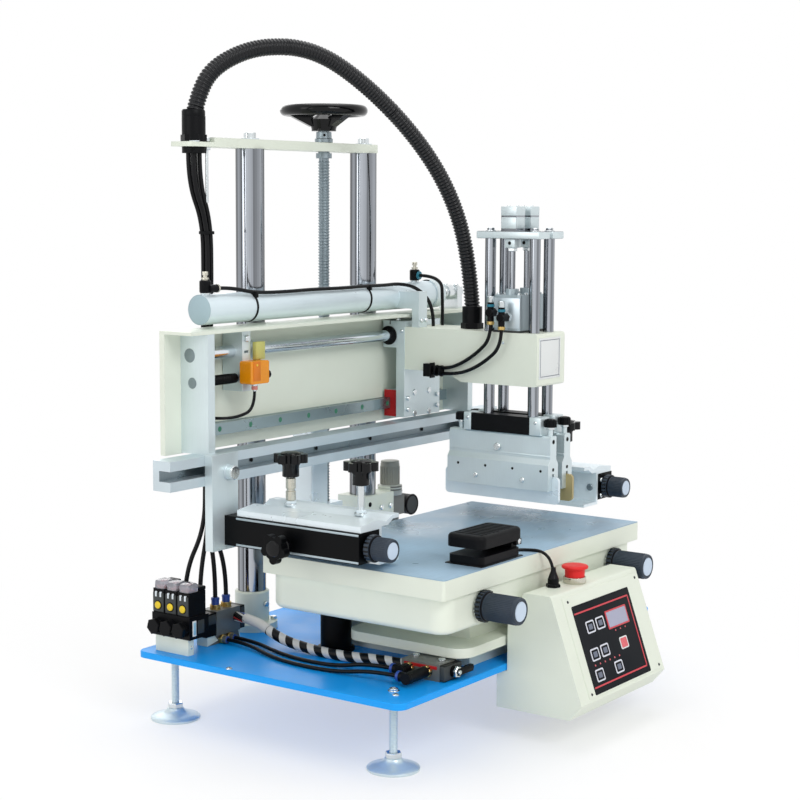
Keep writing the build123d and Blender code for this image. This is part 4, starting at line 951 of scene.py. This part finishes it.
def slope_plate(x0, x1, down0, down1, out, thick, material, corner, bevel=0.0):
    """Plate on the sloping front with rounded corners."""
    outline = []
    for cx, cd, first in ((x1 - corner, down1 - corner, 0), (x0 + corner, down1 - corner, 1),
                          (x0 + corner, down0 + corner, 2), (x1 - corner, down0 + corner, 3)):
        for step in range(5):
            angle = pi / 2 * (first + step / 4)
            outline.append(on_slope(cx + corner * cos(angle), cd + corner * sin(angle), out))
    panel.prism(outline, SLOPE_OUT, thick, material, bevel, 1)


for plate in ((-58, 134, 6, 134, -0.6, 1.6, cream, 3, 0.4), (-43, 102, 20, 132, 0.9, 0.5, panel_black, 2),
              (-41, 96, 29, 31, 1.3, 0.3, panel_red, 0.7), (-41, 96, 122.5, 124.5, 1.3, 0.3, panel_red, 0.7),
              (94, 96, 29, 124.5, 1.3, 0.3, panel_red, 0.7), (29, 83, 39.5, 63, 1.3, 0.5, panel_red, 1.5),
              (31.5, 80.5, 41.5, 61, 1.6, 0.4, window, 1)):
    slope_plate(*plate)
for bx, bd in ((-12, 51), (13, 50.6), (-18.8, 85), (6.4, 84.6), (-20.6, 110.8), (28.4, 110.6)):
    for wide, high, *face in ((10, 7.8, 1.3, 0.3, panel_line, 2.4), (7.8, 5.9, 1.5, 0.25, panel_black, 1.4),
                              (4.6, 3.4, 1.7, 0.2, legend, 1)):
        slope_plate(bx - wide, bx + wide, bd - high, bd + high, *face)
slope_plate(46, 65.5, 77, 92.4, 1.3, 0.4, plate_face, 2.2)
slope_plate(48, 63.5, 78.6, 90.8, 1.6, 0.25, light_red, 1.6)
for count, first_x, gap, down, radius, top in ((6, -25.5, 12.3, 97.8, 1.3, 1.0),
                                               (3, 44, 12.5, 66.5, 1.1, 0.9)):
    for light in range(count):
        panel.lathe(on_slope(first_x + gap * light, down, 1.3), SLOPE_OUT,
                    [(0, radius), (0.5, top), (0.6, 0)], light_red, 12)
for bx, bd in ((-47, 13), (127, 12), (-51, 129), (126, 129)):
    panel.cap_screw(on_slope(bx, bd, 1), SLOPE_OUT, 1.9, 0.9, charcoal)
panel.lathe((STOP_X, STOP_Y, BOX_TOP), "z", [(0, 14.2), (0.6, 14.6), (7.4, 14.6), (8, 14), (8, 13.2),
                                             (0, 13.2)], nickel, 40)
panel.stud((*PEDAL_GLAND, BOX_TOP), "z", 9.4, 3.4, 4, 8.6, 7, black, 6)
panel.lathe((*PEDAL_GLAND, 199), "z", [(0, 6.6), (3, 5.6), (9, 3.4), (14, 2.9), (14, 2.1)], black_rubber,
            24)
panel.done()
stop = Shape("stop_button_cap", "stop", "red_plastic")
stop.lathe((STOP_X, STOP_Y, BOX_TOP - 4), "z", [(0, 0), (0, 8.9), (11.4, 8.9), (11.4, 12.4), (21.4, 12.8),
                                                (22.2, 15), (23.2, 16.8), (25.2, 17), (26.4, 16), (27, 14),
                                                (27, 7), (26.7, 0)], stop_red, 48)
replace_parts(stop.done(), "stop_button")

# Pedal: grip ribs and pin end, then its base's rim and the cord's sleeve
pedal = Shape("pedal_trim", "pedal", "black_plastic")
for rib in range(9):
    rx = -146 + 8.4 * rib
    pedal.block((rx, -170, 267.6), (rx + 4, -130, 268.6), black, 0.3)
pedal.stud((-72, -176, 250), "-y", 3.4, 1, 1.4, 2.8, 0, bright_steel, 18)
pedal.done()
pedal_foot = Shape("pedal_base_trim", "table", "black_plastic")
pedal_foot.block((-157, -177, 230.1), (-63, -123, 232), black_rubber, 0.8)
pedal_foot.block((-66, -154, 230.3), (-62, -146, 235.4), black_rubber, 0.6)
pedal_foot.done()

# Valve bank: faces, yellow plugs, collars, clips, clear covers, plain plate on its end and hose fittings
valves = Shape("valve_parts", "root", "black_plastic")
VALVE_Y, BANK_X0 = (183, 204, 225), -292
for vy in VALVE_Y:
    valves.block((BANK_X0 - 0.4, vy - 9, 146.6), (BANK_X0 + 1.4, vy + 9, 171), charcoal, 0.5)
    valves.disc((BANK_X0 - 0.4, vy, 155), "-x", 6, 0.5, 5.8, black, 24)
    valves.lathe((BANK_X0 - 0.9, vy, 155), "-x", [(0, 4.8), (0.9, 4.6), (1.5, 3.2), (1.5, 0)], yellow, 24)
    valves.lathe((BANK_X0, vy, 129), "-x", [(0, 9.9), (3, 9.9), (3, 9.2), (5.4, 9.2)], black, 28)
    valves.nut((BANK_X0 - 5.4, vy, 129), "-x", 10.6, 6.2, black)
    for clip_y in (-5.4, 2.4):
        valves.block((BANK_X0 - 0.6, vy + clip_y, 165.5), (BANK_X0 + 2, vy + clip_y + 3, 172.5), white, 0.5)
    valves.block((BANK_X0 + 1.2, vy - 8.9, 171.6), (BANK_X0 + 21, vy + 8.9, 187), clear_cover, 4)
    valves.block((BANK_X0 + 4, vy - 5.4, 175.9), (BANK_X0 + 17, vy + 5.4, 179), pink, 1)
    valves.block((BANK_X0 + 21.4, vy - 9, 175.8), (BANK_X0 + 34, vy + 9, 181 + (vy - 183) * 0.08), black,
                 1.6)
valves.block((BANK_X0 + 5.4, 171, 120), (BANK_X0 + 12, 172.3, 140), plate_face, 0.5)
valves.block((BANK_X0 + 6.4, 170.9, 122), (BANK_X0 + 11, 172.2, 138), blue_pale, 0.3)
valves.block((BANK_X0 + 15, 171.2, 122), (BANK_X0 + 27, 172.3, 139), charcoal, 0.4)
for sy in (176, 232):
    valves.cap_screw((BANK_X0 + 7, sy, 105.6), "-x", 2.4, 1)
for fx, fy, fz in VALVE_PORTS[2:]:
    valves.lathe((fx, fy, fz - 6), "z", [(0, 6), (3, 6), (3, 5), (6, 5), (6.6, 4.4), (6.6, 3.2)], brass, 18)
    valves.stud((fx, fy, fz - 1), "z", 5.4, 2.4, 3, 4.8, 3.2, blue_ring, 20)
for fx, fy, fz in VALVE_PORTS[:2]:
    valves.nut((fx, fy, fz - 14), "z", 7.6, 6, brass)
    valves.lathe((fx, fy, fz - 8), "z", [(0, 5.2), (6, 5.2), (6, 5.6), (8.6, 5.6), (9.4, 4.8), (9.4, 3.2)],
                 blue_ring, 20)
    # Near-black disc for a port's hole: painted shade
    valves.disc((fx, 185.6, 127), "-y", 2.6, 0.5, 2.6, painted_hole_shade, 16)
for fx in (-214, -200):
    valves.nut((fx, 188, 101), "-y", 6.4, 5, brass)
    valves.stud((fx, 180, 101), "-y", 4.8, 2.6, 3.4, 4, 2.6, blue_ring, 20)
valves.block((-245.8, 184.6, 124), (-227.4, 186.2, 136), charcoal, 0.5)
valves.block((-179, 184.6, 110), (-171, 186, 136), charcoal, 0.5)
valves.done()

# Loom: coloured wires, a white sleeve and the black and white spiral wrap
LOOM_STEP, SLEEVE_FROM, SLEEVE_TO, LOOM_END = 1.0, 16, 58, -5
SLEEVE_R, WRAP_R, WRAP_SIDES, WRAP_TURNS, WHITE_SHARE = 6.5, 6.6, 32, 42, 0.44
WIRE_TURNS, WIRE_RING, WIRE_R = 9, 5.3, 1.3
loom_line = evenly(centre_line(loom_route), LOOM_STEP * MM)


def loom_piece(name, mesh, *paints):
    """Piece of the loom with its finishes."""
    for material in paints:
        mesh.materials.append(material)
    link(name, mesh, "root")


sleeve = tube_mesh("loom_sleeve", loom_line[SLEEVE_FROM:SLEEVE_TO], lambda number, run: SLEEVE_R * MM, 24)
loom_piece("loom_sleeve", sleeve, wire_white)
wrap = tube_mesh("loom_wrap", loom_line[SLEEVE_TO:LOOM_END], lambda number, run: WRAP_R * MM, WRAP_SIDES,
                 WRAP_TURNS)
for face in wrap.polygons:
    face.material_index = 1 if face.index % WRAP_SIDES < WHITE_SHARE * WRAP_SIDES else 0
loom_piece("loom_wrap", wrap, black_rubber, wire_white)

wire_paints = (wire_red, wire_blue, wire_white, black_rubber, wire_red, wire_white, wire_blue, black_rubber)
wire_line = loom_line[1:SLEEVE_FROM + 4]
for wire_no, wire_paint in enumerate(wire_paints):
    side, path, run = Vector((1, 0, 0)), [], 0.0
    for number, point in enumerate(wire_line):
        before, after = wire_line[max(0, number - 1)], wire_line[min(len(wire_line) - 1, number + 1)]
        ahead = (after - before).normalized()
        side = (side - ahead * side.dot(ahead)).normalized()
        other = ahead.cross(side)
        if number:
            run += (point - wire_line[number - 1]).length
        angle = 2 * pi * run * WIRE_TURNS + 2 * pi * wire_no / len(wire_paints)
        path.append(point + (side * cos(angle) + other * sin(angle)) * WIRE_RING * MM)
    wire = tube_mesh(f"loom_wire_{wire_no + 1}", path, lambda number, run: WIRE_R * MM, 8)
    loom_piece(f"loom_wire_{wire_no + 1}", wire, wire_paint)

# Flow block: screws, red mark, joint nuts and rings, lever
flow = Shape("flow_block_parts", "root", "grey_plastic")
FLOW_X, FLOW_Z, JOINT_X, LEVER_Y = -182, 106, -200, -158.4
for sy in (-137, -99):
    flow.cap_screw((FLOW_X, sy, 116), "z", 4.6, 3)
flow.block((-200.8, -142, 109.4), (-199.9, -94, 113.4), red, 0.2)
for reach, joint_y in ((46, -128), (22, -102)):
    flow.nut((JOINT_X, joint_y, FLOW_Z), "-x", 8, 6, brass)
    flow.stud((JOINT_X - reach + 7, joint_y + 12, FLOW_Z), "y", 6.6, 3.4, 4.2, 5.8, 2.8, blue_ring, 20)
    flow.lathe((JOINT_X - reach + 7, joint_y - 5, FLOW_Z), "y", [(0, 0), (0, 5.6), (1, 6.4), (4, 6.4)],
               black, 24)
    flow.lathe((JOINT_X - reach + 6, joint_y, FLOW_Z), "-x",
               [(0, 6.4), (1.4, 7.3), (3, 7.3), (3.6, 6.6), (3.6, 0)], black, 24)
flow.block((-201, -153.4, 96.5), (-163, -146.8, 114.6), charcoal, 0.8)
flow.stud((FLOW_X, LEVER_Y + 0.4, FLOW_Z), "-y", 7.4, 3, 3.8, 6.6, 0, bright_steel, 6)
lever = [(x, LEVER_Y, z) for x, z in ((-184, 102), (-152, 102.6), (-150, 106), (-152, 109.4), (-184, 110))]
flow.prism(lever, "-y", 4.8, black, 0.8)
flow.disc((FLOW_X, -163, FLOW_Z), "-y", 2.8, 1.2, 2.6, bright_steel, 16)
flow.done()

# Regulator: ribbed bonnet knob, stepped collar, clear ring, gauge rim with a plain face, screws
reg = Shape("regulator_parts", "root", "grey_plastic")
REG_X, REG_Y, GAUGE_X, GAUGE_Z = 182, 205, 224, 216
reg.cogs((REG_X, REG_Y, 252), "z", 13.6, 14.6, 26, 24, knob_grey)
reg.lathe((REG_X, REG_Y, 278), "z", [(0, 14.2), (4, 14), (8.4, 12.4), (8.6, 11.4), (8.6, 0)], knob_grey, 32)
reg.lathe((REG_X, REG_Y, 246), "z", [(0, 18.2), (1.6, 18.2), (3, 16.4), (4.6, 16.2), (5.6, 14.4)],
          collar_pale, 32)
reg.lathe((REG_X, REG_Y, 236.4), "z", [(0, 18.1), (2, 18.6), (6, 18.6), (7, 18.1)], smoke, 32)
reg.lathe((REG_X + 4, REG_Y, 190), "-z", [(0, 10.4), (3, 8.4), (4, 3), (7, 3), (7, 0)], charcoal, 24)
reg.lathe((GAUGE_X, REG_Y - 8, GAUGE_Z), "-y", [(0, 15.3), (2.4, 15.8), (3.6, 15.2), (3.6, 13.4),
                                                (2.8, 13.2), (2.8, 0)], black, 36)
reg.disc((GAUGE_X, REG_Y - 10.9, GAUGE_Z), "-y", 13, 0.3, 12.8, charcoal, 36)
reg.disc((REG_X - 14.2, REG_Y, 221), "-x", 7.2, 0.6, 7.2, bright_steel, 6)
# Near-black plug for a hole in the body: painted shade
reg.lathe((110, 191, 232), "-y", [(0.2, 3.6), (3.4, 3.6), (3.6, 3.2), (3.6, 0)], painted_hole_shade, 16)
for sx in (136, 158):
    reg.cap_screw((sx, 188, 225), "-y", 3.8, 3.6)
reg.done()

# Levelling feet: domed discs, jam nuts, threaded stems and the screw heads over the base plate
feet = Shape("foot_parts", "root", "polished_steel")
plate_under = corners("base_plate")[0][2]
STEM_FOOT, STEM_PITCH, HEAD_FOOT = 21, 2, 94.8
foot_stem = [(0, 4.4)]
for turn_no in range(int((plate_under - STEM_FOOT - STEM_PITCH) / STEM_PITCH)):
    rise = STEM_PITCH * turn_no
    foot_stem += [(rise + 0.3, 4.5), (rise + 0.9, 5.2), (rise + 1.5, 4.5)]
for fx, fy in ((-262, -123), (-262, 225), (262, -123), (262, 225)):
    feet.lathe((fx, fy, 0), "z", [(0, 0), (0, 31.4), (0.8, 32), (2.8, 32), (3.8, 31), (6, 24), (8.6, 16.5),
                                  (11, 12), (14, 10.4), (14.4, 9.6), (14.4, 0)], foot_steel, 44)
    feet.nut((fx, fy, 14.2), "z", 10.6, 7)
    feet.lathe((fx, fy, STEM_FOOT), "z", foot_stem, foot_steel, 20)
    feet.lathe((fx, fy, plate_under - 9.6), "z", [(0, 5), (0, 13.2), (0.6, 13.8), (1.4, 13.8), (1.6, 5)],
               foot_steel, 28)
    feet.nut((fx, fy, plate_under - 8), "z", 11.6, 7.8)
    feet.lathe((fx, fy, HEAD_FOOT), "z", [(0, 7), (0.8, 7), (1, 5.4), (3, 5.4), (3.7, 4.6), (3.7, 2.4),
                                          (2.4, 2.2), (2.4, 0)], bright_steel, 24)
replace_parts(feet.done(), "levelling_feet")

# Floor, world and lamps; what is seen past the fade is white
STAGE_SIZE, FLOOR_TONE, FLOOR_ROUGH, WHITE = 12, 0.97, 0.8, (1, 1, 1, 1)
FADE_FROM, FADE_TO, FADE_NEAR = 0.2, 1.0, 0.5
SKY_LIGHT, SKY_SEEN = 0.55, 1.0
AIM = Vector((0, 0, 0.4))


def seen_ray(tree):
    """One for a ray of the camera or off a glossy face, else nought."""
    ray = shader_node(tree, "LightPath", {})
    return shader_node(tree, "Math", {0: ray["Is Camera Ray"], 1: ray["Is Glossy Ray"]}, "MAXIMUM")["Value"]


floor_mesh = bpy.data.meshes.new("floor")
floor_corners = [(x * STAGE_SIZE, y * STAGE_SIZE, 0) for x, y in ((-1, -1), (1, -1), (1, 1), (-1, 1))]
floor_mesh.from_pydata(floor_corners, [], [(0, 1, 2, 3)])
floor = link("floor", floor_mesh)
floor_paint = bpy.data.materials.new("floor_paint")
floor_paint.use_nodes = True
ground = floor_paint.node_tree
floor_shader = ground.nodes["Principled BSDF"]
feed(ground, floor_shader, {"Base Color": (FLOOR_TONE, FLOOR_TONE, FLOOR_TONE, 1), "Roughness": FLOOR_ROUGH})
here = shader_node(ground, "NewGeometry", {})["Position"]
fade = ground.nodes.new("ShaderNodeMapRange")
fade.interpolation_type = "SMOOTHSTEP"
feed(ground, fade, {"Value": shader_node(ground, "VectorMath", {0: here}, "LENGTH")["Value"],
                    "From Min": FADE_FROM, "From Max": FADE_TO, "To Min": FADE_NEAR})
white_share = shader_node(ground, "Math", {0: fade.outputs["Result"], 1: seen_ray(ground)},
                          "MULTIPLY")["Value"]
far_white = shader_node(ground, "Emission", {"Color": WHITE})["Emission"]
joined = shader_node(ground, "MixShader", {"Fac": white_share, 1: floor_shader.outputs["BSDF"],
                                           2: far_white})
feed(ground, ground.nodes["Material Output"], {"Surface": joined["Shader"]})
floor_mesh.materials.append(floor_paint)

world = bpy.data.worlds.new("world")
world.use_nodes = True
bpy.context.scene.world = world
sky = world.node_tree
strength = shader_node(sky, "MapRange", {"Value": seen_ray(sky), "To Min": SKY_LIGHT,
                                         "To Max": SKY_SEEN})["Result"]
feed(sky, sky.nodes["Background"], {"Color": WHITE, "Strength": strength})

for name, place, size, power in (
        ("key_lamp", (-1.2, -2.6, 2.4), 1.6, 42), ("fill_lamp", (-2.8, 0.6, 1.2), 1.6, 14),
        ("top_lamp", (0.4, 0.3, 3.0), 2.0, 26), ("back_lamp", (1.6, 2.4, 1.8), 1.8, 18)):
    lamp_data = bpy.data.lights.new(name, "AREA")
    lamp_data.size, lamp_data.energy = size, power
    lamp = link(name, lamp_data)
    lamp.location = place
    lamp.rotation_euler = (AIM - Vector(place)).to_track_quat("-Z", "Y").to_euler()
bpy.context.scene.view_settings.view_transform = "Standard"
